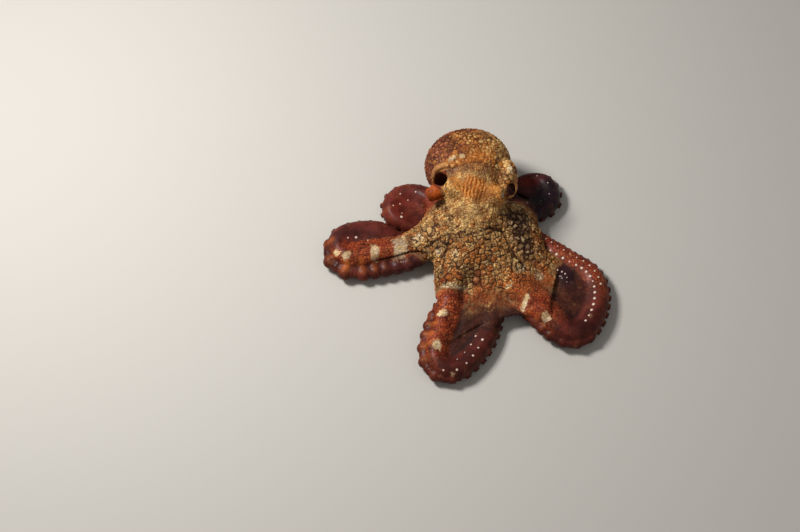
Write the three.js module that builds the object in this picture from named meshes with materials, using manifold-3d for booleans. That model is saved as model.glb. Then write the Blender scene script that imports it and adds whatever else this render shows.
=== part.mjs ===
// Common octopus at rest, life size, in millimetres, +Z up.
// It lies on its folded arms on a flat floor at z = 0, with the mantle towards +Y.
// Left and right are the animal's own, so its right side lies towards -X.
import * as THREE from 'three';
import { mergeVertices } from 'three/addons/utils/BufferGeometryUtils.js';
import Module from 'manifold-3d';

const wasm = await Module();
wasm.setup();

// Clearance between neighbouring pieces
const gap = 0.3;

// Middle of the finished outline in the layout's own coordinates
const outlineMiddle = { x: -1.5, y: -10.6 };

// Mantle: the egg-shaped sac behind the head, its closed end drooping
const mantle = {
  at: [1, 101, 58],
  radii: [54, 56, 43],
  yaw: 9,
  pitch: -16,
  sides: 18,
  rings: 11,
};
const mantleTaper = 0.1;
// Below this height the sac flattens where it lies on the hind arms
const mantleRest = 26;
const mantleFlattening = 0.4;
// Flap at the left front corner of the sac, behind the left opening
const mantleFlap = { at: [48, 79, 71], radii: [13, 19, 17], yaw: 0, pitch: 0, sides: 10, rings: 7 };

// Head, low between the eyes, with a raised bulge under each eye and the neck behind them
const head = { at: [9, 48, 56], radii: [32, 38, 27], yaw: 5, pitch: 0, sides: 16, rings: 8 };
const neck = { at: [5, 69, 66], radii: [31, 33, 29], yaw: 8, pitch: 0, sides: 16, rings: 8 };
const eyeBulges = {
  left: { at: [30, 50, 77], radii: [14, 15, 13], yaw: 0, pitch: 0, sides: 10, rings: 7 },
  right: { at: [-17, 59, 79], radii: [13, 14, 13], yaw: 0, pitch: 0, sides: 10, rings: 7 },
};
const eyeRadius = 7;
const eyeOut = 7.5;
const eyeLook = {
  left: [0.8, -0.25, 0.5],
  right: [-0.8, -0.25, 0.5],
};

// Crown: the mound of the body between the head and the roots of the arms, as level outlines
const crownLevels = [
  { z: 14, x: 12, y: 20, halfWidth: 60, halfDepth: 45 },
  { z: 24, x: 14, y: 20, halfWidth: 73, halfDepth: 50 },
  { z: 34, x: 14, y: 22, halfWidth: 71, halfDepth: 49 },
  { z: 44, x: 11, y: 25, halfWidth: 58, halfDepth: 45 },
  { z: 54, x: 9, y: 29, halfWidth: 42, halfDepth: 39 },
  { z: 63, x: 9, y: 34, halfWidth: 29, halfDepth: 30 },
];
const crownSides = 22;
const crownCentre = { x: 10, y: 14 };

// Funnel, a short tapered tube below the mantle's right-hand opening
const funnel = {
  from: [-28, 80, 60],
  to: [-50, 62, 52],
  baseRadius: 13,
  endRadius: 9,
  mouthRadius: 5,
  mouthDepth: 7,
};

// Openings of the mantle at either side of the neck, each with a flared lip
const openings = {
  right: {
    pocket: { at: [-35, 73, 75], radii: [7.5, 7.5, 15], yaw: 0, pitch: 30, sides: 10, rings: 6 },
    lip: [[-45, 66, 72], [-44, 75, 78], [-40, 82, 84], [-32, 84, 89], [-23, 79, 91]],
  },
  left: {
    pocket: { at: [52, 65, 68], radii: [6, 7, 13], yaw: 0, pitch: 30, sides: 10, rings: 6 },
    lip: [[54, 76, 81], [58, 70, 77], [58, 63, 70], [55, 57, 63], [48, 57, 58]],
  },
};
const lipRadius = 3.2;

// Arms, numbered from the front. Each starts near the middle of the crown in the direction
// root, then follows bends, a list of [length, turn in degrees] with left turns positive.
// radii are its thickness at the root and before the tail, the last stretch, where it thins
// to the tip. ends are the lengths at which it is divided. outside is the side that carries
// the suckers: 1 for the right-hand side of the way it runs, -1 for the left-hand side.
const arms = {
  right_1: {
    root: -111, heading: -127, outside: 1, radii: [17, 9.5], tail: 60, ringSpacing: 0.78,
    ends: [118, 174],
    bends: [[65, 24], [64, -6], [24, 30], [40, 118], [82, 42], [16, 38], [42, 20]],
  },
  left_1: {
    root: -50, heading: -51, outside: 1, radii: [18, 9], tail: 75, ringSpacing: 0.78,
    ends: [125, 225],
    bends: [[38, -4], [45, 7], [56, 5], [40, 97], [53, 37], [46, 56], [84, -21], [26, 25]],
  },
  right_2: {
    root: 180, heading: 165, outside: -1, radii: [19, 13], tail: 50, ringSpacing: 0.78,
    ends: [106, 171],
    bends: [[51, 25], [31, 7], [50, -5], [18, -36], [42, -135], [52, -37], [35, 12]],
  },
  left_2: {
    root: -8, heading: 14, outside: -1, radii: [16, 8], tail: 50, ringSpacing: 1.4, ends: [95],
    bends: [[21, -27], [41, -18], [40, -4], [10, -60], [30, -110], [22, -30]],
  },
  right_3: {
    root: 136, heading: 146, outside: 1, radii: [16, 8], tail: 50, ringSpacing: 1.4, ends: [110],
    bends: [[37, -30], [48, 26], [31, 60], [51, 130], [32, 22], [18, 50]],
  },
  left_3: {
    root: 35, heading: 48, outside: 1, radii: [17, 9], tail: 50, ringSpacing: 1.4, ends: [95],
    bends: [[52, -12], [24, -24], [17, 23], [17, 46], [52, 112], [24, 31]],
  },
  right_4: {
    root: 102, heading: 114, outside: -1, radii: [15, 8], tail: 60, ringSpacing: 1.5, ends: [90],
    bends: [[65, 3], [27, -14], [35, -57], [12, -76], [32, -88]],
  },
  left_4: {
    root: 68, heading: 71, outside: 1, radii: [15, 8], tail: 60, ringSpacing: 1.5, ends: [85],
    bends: [[21, -11], [64, 24], [38, 53], [12, 81], [30, 82]],
  },
};
const lengthNames = ['base', 'middle', 'tip'];
const armStart = 14;
const tipRadius = 3.5;
const leastRingSpacing = 6.5;
const rootHeight = 30;
const settleLength = 100;
const sinkage = 0.92;
const suckerRoll = 50;
const rollLength = 80;
// Section of an arm: directions of its corners from the back of the arm, in degrees. The two
// rows of suckers stand at the corners marked by suckerRows, on every other ring. suckerRise
// is how far the arm reaches there, between the suckers and over them, in radii.
const sectionAngles = [22, 66, 110, 157, 203, 250, 294, 338];
const suckerRows = [3, 4];
const suckerRise = [1.2, 1.55];
const divisionRise = 1.4;

// Webs from arm to arm: how far they reach along each arm, and how deep their free edge dips
const webs = [
  { from: 'right_1', to: 'left_1', reach: [150, 108], dip: 0.06, sag: 2 },
  { from: 'left_1', to: 'left_2', reach: [112, 98], dip: 0.05, sag: 1 },
  { from: 'left_2', to: 'left_3', reach: [90, 85], dip: 0.15, sag: 2 },
  { from: 'left_3', to: 'left_4', reach: [95, 95], dip: 0.15, sag: 3 },
  { from: 'left_4', to: 'right_4', reach: [95, 95], dip: 0.15, sag: 3 },
  { from: 'right_4', to: 'right_3', reach: [100, 95], dip: 0.1, sag: 3 },
  { from: 'right_3', to: 'right_2', reach: [80, 85], dip: 0.2, sag: 3 },
  { from: 'right_2', to: 'right_1', reach: [48, 96], dip: 0.25, sag: 3 },
];
// Folds of skin that fill the loop of an arm, from its bend towards its two ends
const folds = [
  { arm: 'right_1', bend: 174, back: 92, on: 98, sag: 4, height: 0.5 },
  { arm: 'left_1', bend: 182, back: 110, on: 140, sag: 4, height: 0.6 },
  { arm: 'right_2', bend: 171, back: 66, on: 74, sag: 2, height: 0.5 },
  { arm: 'right_3', bend: 142, back: 50, on: 56, sag: 2, height: 0.5 },
  { arm: 'left_3', bend: 136, back: 46, on: 46, sag: 2, height: 0.45 },
];
const webThickness = 5;
const webHeight = 0.45; // above the middle lines of the arms, in radii

// Colours and finish of each kind of surface
const finishes = {
  mantle_skin: { color: 0xb98a4a, roughness: 0.45 },
  body_skin: { color: 0xa9743a, roughness: 0.45 },
  arm_skin: { color: 0x8a4a2a, roughness: 0.4 },
  web_skin: { color: 0x4a2a20, roughness: 0.4 },
  eye: { color: 0x2a2218, roughness: 0.15 },
};

const radians = THREE.MathUtils.degToRad;
const ease = THREE.MathUtils.smoothstep;

// A closed three.js geometry as a solid that can be joined and cut
function solidFrom(geometry) {
  const bare = geometry.clone();
  bare.deleteAttribute('normal');
  bare.deleteAttribute('uv');
  const merged = mergeVertices(bare, 1e-4);
  return new wasm.Manifold(new wasm.Mesh({
    numProp: 3,
    vertProperties: new Float32Array(merged.attributes.position.array),
    triVerts: new Uint32Array(merged.index.array),
  }));
}

// The largest single body of a solid, as a three.js geometry
function geometryFrom(solid) {
  const bodies = solid.decompose();
  bodies.sort((a, b) => b.volume() - a.volume());
  const mesh = bodies[0].getMesh();
  const geometry = new THREE.BufferGeometry();
  geometry.setAttribute('position', new THREE.BufferAttribute(mesh.vertProperties, 3));
  geometry.setIndex(new THREE.BufferAttribute(mesh.triVerts, 1));
  return geometry;
}

function ellipsoid({ at, radii, yaw, pitch, sides, rings }, grow = 0) {
  const ball = new THREE.SphereGeometry(1, sides, rings);
  ball.rotateX(Math.PI / 2);
  ball.scale(radii[0] + grow, radii[1] + grow, radii[2] + grow);
  ball.rotateX(radians(pitch));
  ball.rotateZ(radians(yaw));
  ball.translate(...at);
  return ball;
}

// A closed body through rings of points that run anticlockwise about the way they follow
function loft(rings) {
  const count = rings[0].length;
  const points = rings.flat();
  const middle = (ring) => ring.reduce((sum, p) => sum.add(p), new THREE.Vector3()).divideScalar(count);
  points.push(middle(rings[0]), middle(rings.at(-1)));
  const [first, last] = [points.length - 2, points.length - 1];
  const faces = [];
  for (let k = 0; k < count; k += 1) {
    const next = (k + 1) % count;
    for (let i = 0; i + 1 < rings.length; i += 1) {
      const [a, b] = [i * count + k, i * count + next];
      faces.push(a, b, b + count, a, b + count, a + count);
    }
    const end = (rings.length - 1) * count;
    faces.push(first, next, k, last, end + k, end + next);
  }
  return closedGeometry(points, faces);
}

function closedGeometry(points, faces) {
  const geometry = new THREE.BufferGeometry();
  geometry.setFromPoints(points);
  geometry.setIndex(faces);
  return geometry;
}

// A round tube along a smooth curve, its radius given by a function of 0 to 1
function tubeAlong(curve, radiusAt, sides, steps) {
  const rings = [];
  for (let i = 0; i <= steps; i += 1) {
    const t = i / steps;
    const at = curve.getPoint(t);
    const along = curve.getTangent(t);
    const side = new THREE.Vector3(0, 0, 1).cross(along).normalize();
    const up = along.clone().cross(side);
    const ring = [];
    for (let k = 0; k < sides; k += 1) {
      const turn = (2 * Math.PI * k) / sides;
      ring.push(at.clone()
        .addScaledVector(side, radiusAt(t) * Math.cos(turn))
        .addScaledVector(up, radiusAt(t) * Math.sin(turn)));
    }
    rings.push(ring);
  }
  return loft(rings);
}

// A slab of even thickness about the surface pointAt(u, v), with u and v from 0 to 1
function slab(pointAt, rows, columns, thickness) {
  const points = [];
  for (const offset of [thickness / 2, -thickness / 2]) {
    for (let i = 0; i <= rows; i += 1) {
      for (let j = 0; j <= columns; j += 1) {
        const point = pointAt(i / rows, j / columns);
        point.z += offset;
        points.push(point);
      }
    }
  }
  const wide = columns + 1;
  const under = (rows + 1) * wide;
  const faces = [];
  const quad = (a, b, c, d) => faces.push(a, b, c, a, c, d);
  for (let i = 0; i < rows; i += 1) {
    for (let j = 0; j < columns; j += 1) {
      const a = i * wide + j;
      quad(a, a + wide, a + wide + 1, a + 1);
      quad(under + a, under + a + 1, under + a + wide + 1, under + a + wide);
    }
  }
  for (let i = 0; i < rows; i += 1) {
    const [a, b] = [i * wide, i * wide + columns];
    quad(a, under + a, under + a + wide, a + wide);
    quad(b, b + wide, under + b + wide, under + b);
  }
  for (let j = 0; j < columns; j += 1) {
    const [a, b] = [j, rows * wide + j];
    quad(a, a + 1, under + a + 1, under + a);
    quad(b, under + b, under + b + 1, b + 1);
  }
  return closedGeometry(points, faces);
}

const joined = (solids) => solids.reduce((all, solid) => all.add(solid));
const cutBy = (solid, cutters) => cutters.reduce((rest, cutter) => rest.subtract(cutter), solid);

// ---- Arms ----

const armLength = (arm) => arm.bends.reduce((sum, [length]) => sum + length, 0);

// Radius at a distance along the arm: an even taper, then a fine tail with a round end
function armRadius(arm, s) {
  const whole = armLength(arm);
  const taper = THREE.MathUtils.lerp(...arm.radii, s / whole);
  const tail = Math.max(0, (s - whole) / arm.tail + 1);
  const past = Math.max(0, (s - whole) / tipRadius + 1);
  return THREE.MathUtils.lerp(taper, tipRadius, tail) * Math.sqrt(Math.max(0.01, 1 - past * past));
}

// Place on the arm's middle line, and the horizontal way it runs there
function armAt(arm, s) {
  const root = radians(arm.root);
  let x = crownCentre.x + armStart * Math.cos(root);
  let y = crownCentre.y + armStart * Math.sin(root);
  let heading = radians(arm.heading);
  let left = s;
  for (const [length, turn] of arm.bends) {
    const run = Math.min(left, length);
    const swing = (radians(turn) * run) / length;
    const chord = Math.abs(swing) > 1e-6 ? (run * Math.sin(swing / 2)) / (swing / 2) : run;
    x += chord * Math.cos(heading + swing / 2);
    y += chord * Math.sin(heading + swing / 2);
    heading += swing;
    left -= run;
    if (left <= 0) break;
  }
  const lift = (rootHeight - sinkage * arm.radii[0]) * (1 - ease(s, 0, settleLength));
  const z = sinkage * armRadius(arm, s) + lift;
  return { point: new THREE.Vector3(x, y, z), heading };
}

// Distances along the arm of its rings, closer together as it thins
function ringPlaces(arm) {
  const whole = armLength(arm);
  const places = [0];
  const roundEnd = whole - tipRadius;
  while (places.at(-1) < roundEnd) {
    const s = places.at(-1);
    places.push(s + Math.max(leastRingSpacing, arm.ringSpacing * armRadius(arm, s)));
  }
  places.pop();
  return [...places, roundEnd, whole - 0.3 * tipRadius, whole];
}

function armRing(arm, s, index, grow) {
  const { point, heading } = armAt(arm, s);
  const ahead = new THREE.Vector3(Math.cos(heading), Math.sin(heading), 0);
  const outside = new THREE.Vector3(ahead.y, -ahead.x, 0).multiplyScalar(arm.outside);
  const roll = radians(suckerRoll) * ease(s, 0, rollLength);
  const back = new THREE.Vector3(0, 0, Math.cos(roll)).addScaledVector(outside, -Math.sin(roll));
  const side = ahead.clone().cross(back);
  const radius = armRadius(arm, s);
  return sectionAngles.map((angle, corner) => {
    const row = suckerRows.indexOf(corner);
    const rise = row < 0 ? 1 : (index === null ? divisionRise : suckerRise[(index + row) % 2]);
    const reach = radius * rise + grow;
    const turn = radians(angle);
    const place = point.clone()
      .addScaledVector(back, reach * Math.cos(turn))
      .addScaledVector(side, reach * Math.sin(turn));
    place.z = Math.max(place.z, 0);
    return place;
  });
}

// One length of an arm, with plain rings at its two ends
function armPiece(arm, from, to, grow = 0) {
  const half = gap / 2 - grow;
  const start = from > 0 ? from + half : 0;
  const end = to < armLength(arm) ? to - half : to;
  const rings = [armRing(arm, start, null, grow)];
  ringPlaces(arm).forEach((s, index) => {
    if (s > start + 1 && s < end - 1) rings.push(armRing(arm, s, index, grow));
  });
  rings.push(armRing(arm, end, null, grow));
  return loft(rings);
}

// ---- Webs ----

function webSurface(web) {
  const [a, b] = [arms[web.from], arms[web.to]];
  return (u, v) => {
    const edge = 1 - web.dip * Math.sin(Math.PI * v);
    const start = armAt(a, u * web.reach[0] * edge).point;
    const end = armAt(b, u * web.reach[1] * edge).point;
    start.z += webHeight * armRadius(a, u * web.reach[0] * edge);
    end.z += webHeight * armRadius(b, u * web.reach[1] * edge);
    const point = start.lerp(end, v);
    point.z = Math.max(point.z - web.sag * u * Math.sin(Math.PI * v), webThickness);
    return point;
  };
}

function foldSurface(fold) {
  const arm = arms[fold.arm];
  return (u, v) => {
    const before = fold.bend - u * fold.back;
    const after = fold.bend + u * fold.on;
    const limbs = [before, after].map((s) => {
      const { point } = armAt(arm, s);
      point.z += fold.height * armRadius(arm, s);
      return point;
    });
    const point = limbs[0].lerp(limbs[1], arm.outside > 0 ? 1 - v : v);
    point.z = Math.max(point.z - fold.sag * Math.sin(Math.PI * v), webThickness);
    return point;
  };
}

// ---- Whole animal ----

const octopus = new THREE.Group();
octopus.position.set(-outlineMiddle.x, -outlineMiddle.y, 0);

// Every finished solid is kept here with the slightly larger one that cuts its neighbours
const finished = [];

function addPiece(name, finish, solid, cutter) {
  const trimmed = cutBy(solid, finished);
  const mesh = new THREE.Mesh(geometryFrom(trimmed), new THREE.MeshStandardMaterial(finishes[finish]));
  mesh.name = name;
  octopus.add(mesh);
  finished.push(cutter);
}

function addEye(side) {
  const look = new THREE.Vector3(...eyeLook[side]).normalize();
  const at = new THREE.Vector3(...eyeBulges[side].at).addScaledVector(look, eyeOut).toArray();
  const ball = { at, radii: [eyeRadius, eyeRadius, eyeRadius], yaw: 0, pitch: 0, sides: 10, rings: 7 };
  addPiece(`eye_${side}`, 'eye', solidFrom(ellipsoid(ball)), solidFrom(ellipsoid(ball, gap)));
}

function funnelTube(grow) {
  const line = new THREE.LineCurve3(new THREE.Vector3(...funnel.from), new THREE.Vector3(...funnel.to));
  const radiusAt = (t) => THREE.MathUtils.lerp(funnel.baseRadius, funnel.endRadius, t * t) + grow;
  return solidFrom(tubeAlong(line, radiusAt, 12, 3));
}

function addFunnel() {
  const end = new THREE.Vector3(...funnel.to);
  const inward = new THREE.Vector3(...funnel.from).sub(end).normalize();
  const line = new THREE.LineCurve3(
    end.clone().addScaledVector(inward, -1),
    end.clone().addScaledVector(inward, funnel.mouthDepth),
  );
  const mouth = solidFrom(tubeAlong(line, (t) => funnel.mouthRadius * (1 - 0.6 * t * t), 8, 2));
  addPiece('funnel', 'body_skin', funnelTube(0).subtract(mouth), funnelTube(gap));
}

function mantleSolid(grow) {
  const sac = ellipsoid({ ...mantle, at: [0, 0, 0], yaw: 0, pitch: 0 }, grow);
  const position = sac.attributes.position;
  for (let i = 0; i < position.count; i += 1) {
    const wider = 1 + (mantleTaper * position.getY(i)) / mantle.radii[1];
    position.setX(i, position.getX(i) * wider);
    position.setZ(i, position.getZ(i) * wider);
  }
  sac.rotateX(radians(mantle.pitch));
  sac.rotateZ(radians(mantle.yaw));
  sac.translate(...mantle.at);
  for (let i = 0; i < position.count; i += 1) {
    const sunk = Math.min(0, position.getZ(i) - mantleRest);
    position.setZ(i, position.getZ(i) - sunk * (1 - mantleFlattening));
  }
  const lips = Object.values(openings).map(({ lip }) => {
    const curve = new THREE.CatmullRomCurve3(lip.map((p) => new THREE.Vector3(...p)));
    const thickness = (t) => lipRadius * (0.45 + 0.55 * Math.sin(Math.PI * t)) + grow;
    return solidFrom(tubeAlong(curve, thickness, 6, 6));
  });
  return joined([solidFrom(sac), solidFrom(ellipsoid(mantleFlap, grow)), ...lips]);
}

function addMantle() {
  const pockets = Object.values(openings).map(({ pocket }) => solidFrom(ellipsoid(pocket)));
  addPiece('mantle', 'mantle_skin', cutBy(mantleSolid(0), pockets), mantleSolid(gap));
}

function headSolid(grow) {
  const lumps = [head, neck, eyeBulges.left, eyeBulges.right];
  return joined(lumps.map((lump) => solidFrom(ellipsoid(lump, grow))));
}

function crownSolid(grow) {
  const rings = crownLevels.map((level, i) => {
    const lift = i === 0 ? -grow : i === crownLevels.length - 1 ? grow : 0;
    const ring = [];
    for (let k = 0; k < crownSides; k += 1) {
      const turn = (2 * Math.PI * k) / crownSides;
      const x = level.x + (level.halfWidth + grow) * Math.cos(turn);
      const y = level.y + (level.halfDepth + grow) * Math.sin(turn);
      ring.push(new THREE.Vector3(x, y, level.z + lift));
    }
    return ring;
  });
  return solidFrom(loft(rings));
}

function addArms() {
  for (const [name, arm] of Object.entries(arms)) {
    const stops = [0, ...arm.ends, armLength(arm)];
    const names = arm.ends.length > 1 ? lengthNames : ['base', 'tip'];
    names.forEach((part, i) => {
      const [from, to] = [stops[i], stops[i + 1]];
      const solid = solidFrom(armPiece(arm, from, to));
      addPiece(`arm_${name}_${part}`, 'arm_skin', solid, solidFrom(armPiece(arm, from, to, gap)));
    });
  }
}

function addWebs() {
  for (const web of webs) {
    const surface = webSurface(web);
    const solid = solidFrom(slab(surface, 4, 4, webThickness));
    const cutter = solidFrom(slab(surface, 4, 4, webThickness + 2 * gap));
    addPiece(`web_${web.from}_${web.to}`, 'web_skin', solid, cutter);
  }
  for (const fold of folds) {
    const surface = foldSurface(fold);
    const solid = solidFrom(slab(surface, 5, 4, webThickness));
    const cutter = solidFrom(slab(surface, 5, 4, webThickness + 2 * gap));
    addPiece(`fold_${fold.arm}`, 'web_skin', solid, cutter);
  }
}

addEye('left');
addEye('right');
addPiece('head', 'body_skin', headSolid(0), headSolid(gap));
addFunnel();
addMantle();
addPiece('crown', 'body_skin', crownSolid(0), crownSolid(gap));
addArms();
addWebs();

export default octopus;
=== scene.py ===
# Common octopus at rest on a pale floor, life size.
# Sizes below are millimetres in the animal's own layout; meshes are metres in the model's frame.
import math
from types import SimpleNamespace

import bmesh
import bpy
import numpy as np
import openvdb
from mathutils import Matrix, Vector, bvhtree, kdtree


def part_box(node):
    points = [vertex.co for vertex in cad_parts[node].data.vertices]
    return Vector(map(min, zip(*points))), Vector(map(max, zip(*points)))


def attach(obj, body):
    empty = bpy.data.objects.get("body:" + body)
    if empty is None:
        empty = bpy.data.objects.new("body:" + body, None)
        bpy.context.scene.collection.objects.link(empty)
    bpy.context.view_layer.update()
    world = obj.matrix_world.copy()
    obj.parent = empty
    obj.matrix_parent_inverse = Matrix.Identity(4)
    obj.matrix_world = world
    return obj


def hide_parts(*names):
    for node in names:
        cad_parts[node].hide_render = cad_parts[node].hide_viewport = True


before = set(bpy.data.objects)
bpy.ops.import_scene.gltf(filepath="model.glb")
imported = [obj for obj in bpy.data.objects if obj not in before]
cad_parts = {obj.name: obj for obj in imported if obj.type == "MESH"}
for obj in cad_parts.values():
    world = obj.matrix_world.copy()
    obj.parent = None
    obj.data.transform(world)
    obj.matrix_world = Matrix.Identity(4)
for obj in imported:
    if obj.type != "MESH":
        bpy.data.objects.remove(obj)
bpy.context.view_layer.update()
print("frame loaded:", len(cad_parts), "nodes")

mm = 0.001
layoutShift = np.array([1.5, 10.6, 0.0])  # from the layout's origin to the middle of the outline


def inModel(points):
    return (np.asarray(points, float) + layoutShift) * mm


def linked(name, data):
    thing = bpy.data.objects.new(name, data)
    bpy.context.scene.collection.objects.link(thing)
    return thing


# An operator of Wire, which adds the node that works it out
def operator(operation, reflected=False):
    def operate(self, other):
        return self.maths(operation, other, self) if reflected else self.maths(operation, self, other)
    return operate


# One output of a node, with the arithmetic of its kind: numbers, or colours and vectors
class Wire:
    def __init__(self, nodes, socket):
        self.nodes = nodes
        self.socket = socket

    def wide(self):
        return self.socket.type in ("VECTOR", "RGBA")

    def maths(self, operation, a, b):
        if any(isinstance(v, Wire) and v.wide() for v in (a, b)):
            a, b = [(v, v, v) if isinstance(v, (int, float)) else v for v in (a, b)]
            return self.nodes.add("ShaderNodeVectorMath", {"operation": operation}, {0: a, 1: b})
        return self.nodes.add("ShaderNodeMath", {"operation": operation}, {0: a, 1: b})

    __add__ = operator("ADD")
    __radd__ = operator("ADD", True)
    __sub__ = operator("SUBTRACT")
    __rsub__ = operator("SUBTRACT", True)
    __mul__ = operator("MULTIPLY")
    __rmul__ = operator("MULTIPLY", True)
    __truediv__ = operator("DIVIDE")
    __pow__ = operator("POWER")

    def wave(self):
        return self.maths("SINE", self, 0.0)

    # 0 below low, 1 above high, smooth between
    def between(self, low, high):
        values = {"Value": self, "From Min": low, "From Max": high}
        return self.nodes.add("ShaderNodeMapRange", {"interpolation_type": "SMOOTHSTEP"}, values)


class Nodes:
    def __init__(self, tree):
        self.tree = tree

    def feed(self, socket, value):
        if isinstance(value, Wire):
            self.tree.links.new(value.socket, socket)
        else:
            socket.default_value = value

    def add(self, kind, settings=None, values=None, output=0):
        node = self.tree.nodes.new(kind)
        for name, value in (settings or {}).items():
            setattr(node, name, value)
        for key, value in (values or {}).items():
            self.feed(node.inputs[key], value)
        return Wire(self, node.outputs[output])

    # Colour a where the share is 0 and b where it is 1
    def mix(self, share, a, b, blend="MIX"):
        a, b = [(*c, 1.0) if isinstance(c, tuple) else c for c in (a, b)]
        settings = {"data_type": "RGBA", "blend_type": blend}
        return self.add("ShaderNodeMix", settings, {0: share, 6: a, 7: b}, 2)


# The nodes of a new material
class Paint(Nodes):
    def __init__(self, name):
        self.material = bpy.data.materials.new(name)
        self.material.use_nodes = True
        super().__init__(self.material.node_tree)

    def place(self):
        return self.add("ShaderNodeTexCoord", {}, {}, 3)

    def mask(self, name):
        return self.add("ShaderNodeAttribute", {"attribute_name": name}, {}, 2)

    def noise(self, place, scale, detail):
        return self.add("ShaderNodeTexNoise", {}, {"Vector": place, "Scale": scale, "Detail": detail})

    # Sets the shader's sockets, each to a wire or to a value, and gives back the material
    def finished(self, values):
        shader = self.tree.nodes["Principled BSDF"]
        for name, value in values.items():
            self.feed(shader.inputs[name], value)
        return self.material


# A new Geometry Nodes tree: its nodes, its named inputs as wires, and their identifiers
def newTree(name, inputs):
    tree = bpy.data.node_groups.new(name, "GeometryNodeTree")
    identifiers = {}
    for title, kind in {"Geometry": "Geometry", **inputs}.items():
        socket = tree.interface.new_socket(title, in_out="INPUT", socket_type="NodeSocket" + kind)
        identifiers[title] = socket.identifier
    tree.interface.new_socket("Geometry", in_out="OUTPUT", socket_type="NodeSocketGeometry")
    nodes = Nodes(tree)
    start = tree.nodes.new("NodeGroupInput")
    wires = {title: Wire(nodes, start.outputs[title]) for title in identifiers}
    return nodes, wires, identifiers


def endTree(nodes, geometry):
    end = nodes.tree.nodes.new("NodeGroupOutput")
    nodes.feed(end.inputs[0], geometry)


def addTree(thing, nodes, identifiers, values):
    modifier = thing.modifiers.new(nodes.tree.name, "NODES")
    modifier.node_group = nodes.tree
    for title, value in values.items():
        modifier[identifiers[title]] = value


view = {
    "target": (-85.0, -5.8, 0.0),
    "distance": 2500.0,
    "elevation": 60.0,
    "lens": 90.0,
    "sensor": 36.0,
}

studio = {
    "floorColor": (0.52, 0.49, 0.44, 1.0),
    "floorRoughness": 0.9,
    "floorSize": 24.0,
    "aim": (0, 0, 0.03),
    "key": {"place": (-0.8, 0.3, 1.1), "size": 0.34, "power": 21.0},
    "fill": {"place": (0.9, -0.7, 0.9), "size": 1.2, "power": 1.6},
    "skyColor": (0.97, 0.98, 1.0, 1.0),
    "skyStrength": 0.22,
}


def aimAt(thing, place, target):
    thing.location = place
    thing.rotation_euler = (Vector(target) - Vector(place)).to_track_quat("-Z", "Y").to_euler()


def addCamera():
    camera = bpy.data.cameras.new("camera")
    camera.lens = view["lens"]
    camera.sensor_width = view["sensor"]
    thing = linked("camera", camera)
    rise = math.radians(view["elevation"])
    back = Vector((0, -math.cos(rise), math.sin(rise))) * view["distance"] * mm
    target = Vector(inModel(view["target"]))
    aimAt(thing, target + back, target)
    bpy.context.scene.camera = thing


def addLight(name):
    light = bpy.data.lights.new(name, "AREA")
    light.size = studio[name]["size"]
    light.energy = studio[name]["power"]
    aimAt(linked(name, light), studio[name]["place"], studio["aim"])


def addStudio():
    addLight("key")
    addLight("fill")
    world = bpy.data.worlds.new("sky")
    world.use_nodes = True
    sky = world.node_tree.nodes["Background"]
    sky.inputs["Color"].default_value = studio["skyColor"]
    sky.inputs["Strength"].default_value = studio["skyStrength"]
    bpy.context.scene.world = world
    half = studio["floorSize"] / 2
    mesh = bpy.data.meshes.new("floor")
    corners = [(-half, -half, 0), (half, -half, 0), (half, half, 0), (-half, half, 0)]
    mesh.from_pydata(corners, [], [(0, 1, 2, 3)])
    floor = linked("floor", mesh)
    values = {"Base Color": studio["floorColor"], "Roughness": studio["floorRoughness"]}
    mesh.materials.append(Paint("floor").finished(values))


addCamera()
addStudio()
bpy.context.scene.view_settings.view_transform = "Standard"
print("camera, lights and floor placed")

# Each arm starts near the middle of the crown in the direction root and follows its bends,
# a list of (length, turn in degrees). outside is the side its suckers face: 1 is right.
# lobes are the ends of its run of fleshy lobes, and how far they stand out, in radii.
arms = {
    "right_1": {
        "root": -111, "heading": -127, "outside": 1, "radii": (17, 9.5), "tail": 60, "pitch": 1.0,
        "bends": [(65, 24), (64, -6), (24, 30), (40, 118), (82, 42), (16, 38), (42, 20)],
        "lobes": (92, 174, 0.38),
    },
    "left_1": {
        "root": -50, "heading": -51, "outside": 1, "radii": (18, 9), "tail": 75, "pitch": 0.8,
        "bends": [(38, -4), (45, 7), (56, 5), (40, 97), (53, 37), (46, 56), (84, -21), (26, 25)],
        "lobes": (110, 170, 0.14),
    },
    "right_2": {
        "root": 180, "heading": 165, "outside": -1, "radii": (19, 13), "tail": 50, "pitch": 0.82,
        "bends": [(51, 25), (31, 7), (50, -5), (18, -36), (42, -135), (52, -37), (35, 12)],
        "lobes": (58, 166, 0.6),
    },
    "left_2": {
        "root": -8, "heading": 14, "outside": -1, "radii": (16, 8), "tail": 50, "pitch": 0.85,
        "bends": [(21, -27), (41, -18), (40, -4), (10, -60), (30, -110), (22, -30)],
    },
    "right_3": {
        "root": 136, "heading": 146, "outside": 1, "radii": (16, 8), "tail": 50, "pitch": 0.9,
        "bends": [(37, -30), (48, 26), (31, 60), (51, 130), (32, 22), (18, 50)],
    },
    "left_3": {
        "root": 35, "heading": 48, "outside": 1, "radii": (17, 9), "tail": 50, "pitch": 0.85,
        "bends": [(52, -12), (24, -24), (17, 23), (17, 46), (52, 112), (24, 31)],
    },
    "right_4": {
        "root": 102, "heading": 114, "outside": -1, "radii": (15, 8), "tail": 60, "pitch": 0.85,
        "bends": [(65, 3), (27, -14), (35, -57), (12, -76), (32, -88)],
    },
    "left_4": {
        "root": 68, "heading": 71, "outside": 1, "radii": (15, 8), "tail": 60, "pitch": 0.85,
        "bends": [(21, -11), (64, 24), (38, 53), (12, 81), (30, 82)],
    },
}

armForm = {
    "crownCentre": (10, 14),
    "start": 14,
    "tipRadius": 3.5,
    "rootHeight": 30,
    "settleLength": 100,
    "sinkage": 0.92,
    "suckerRoll": 50,
    "rollLength": 80,
    "sampleStep": 1.5,
    "fullness": 0.97,
}


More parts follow.
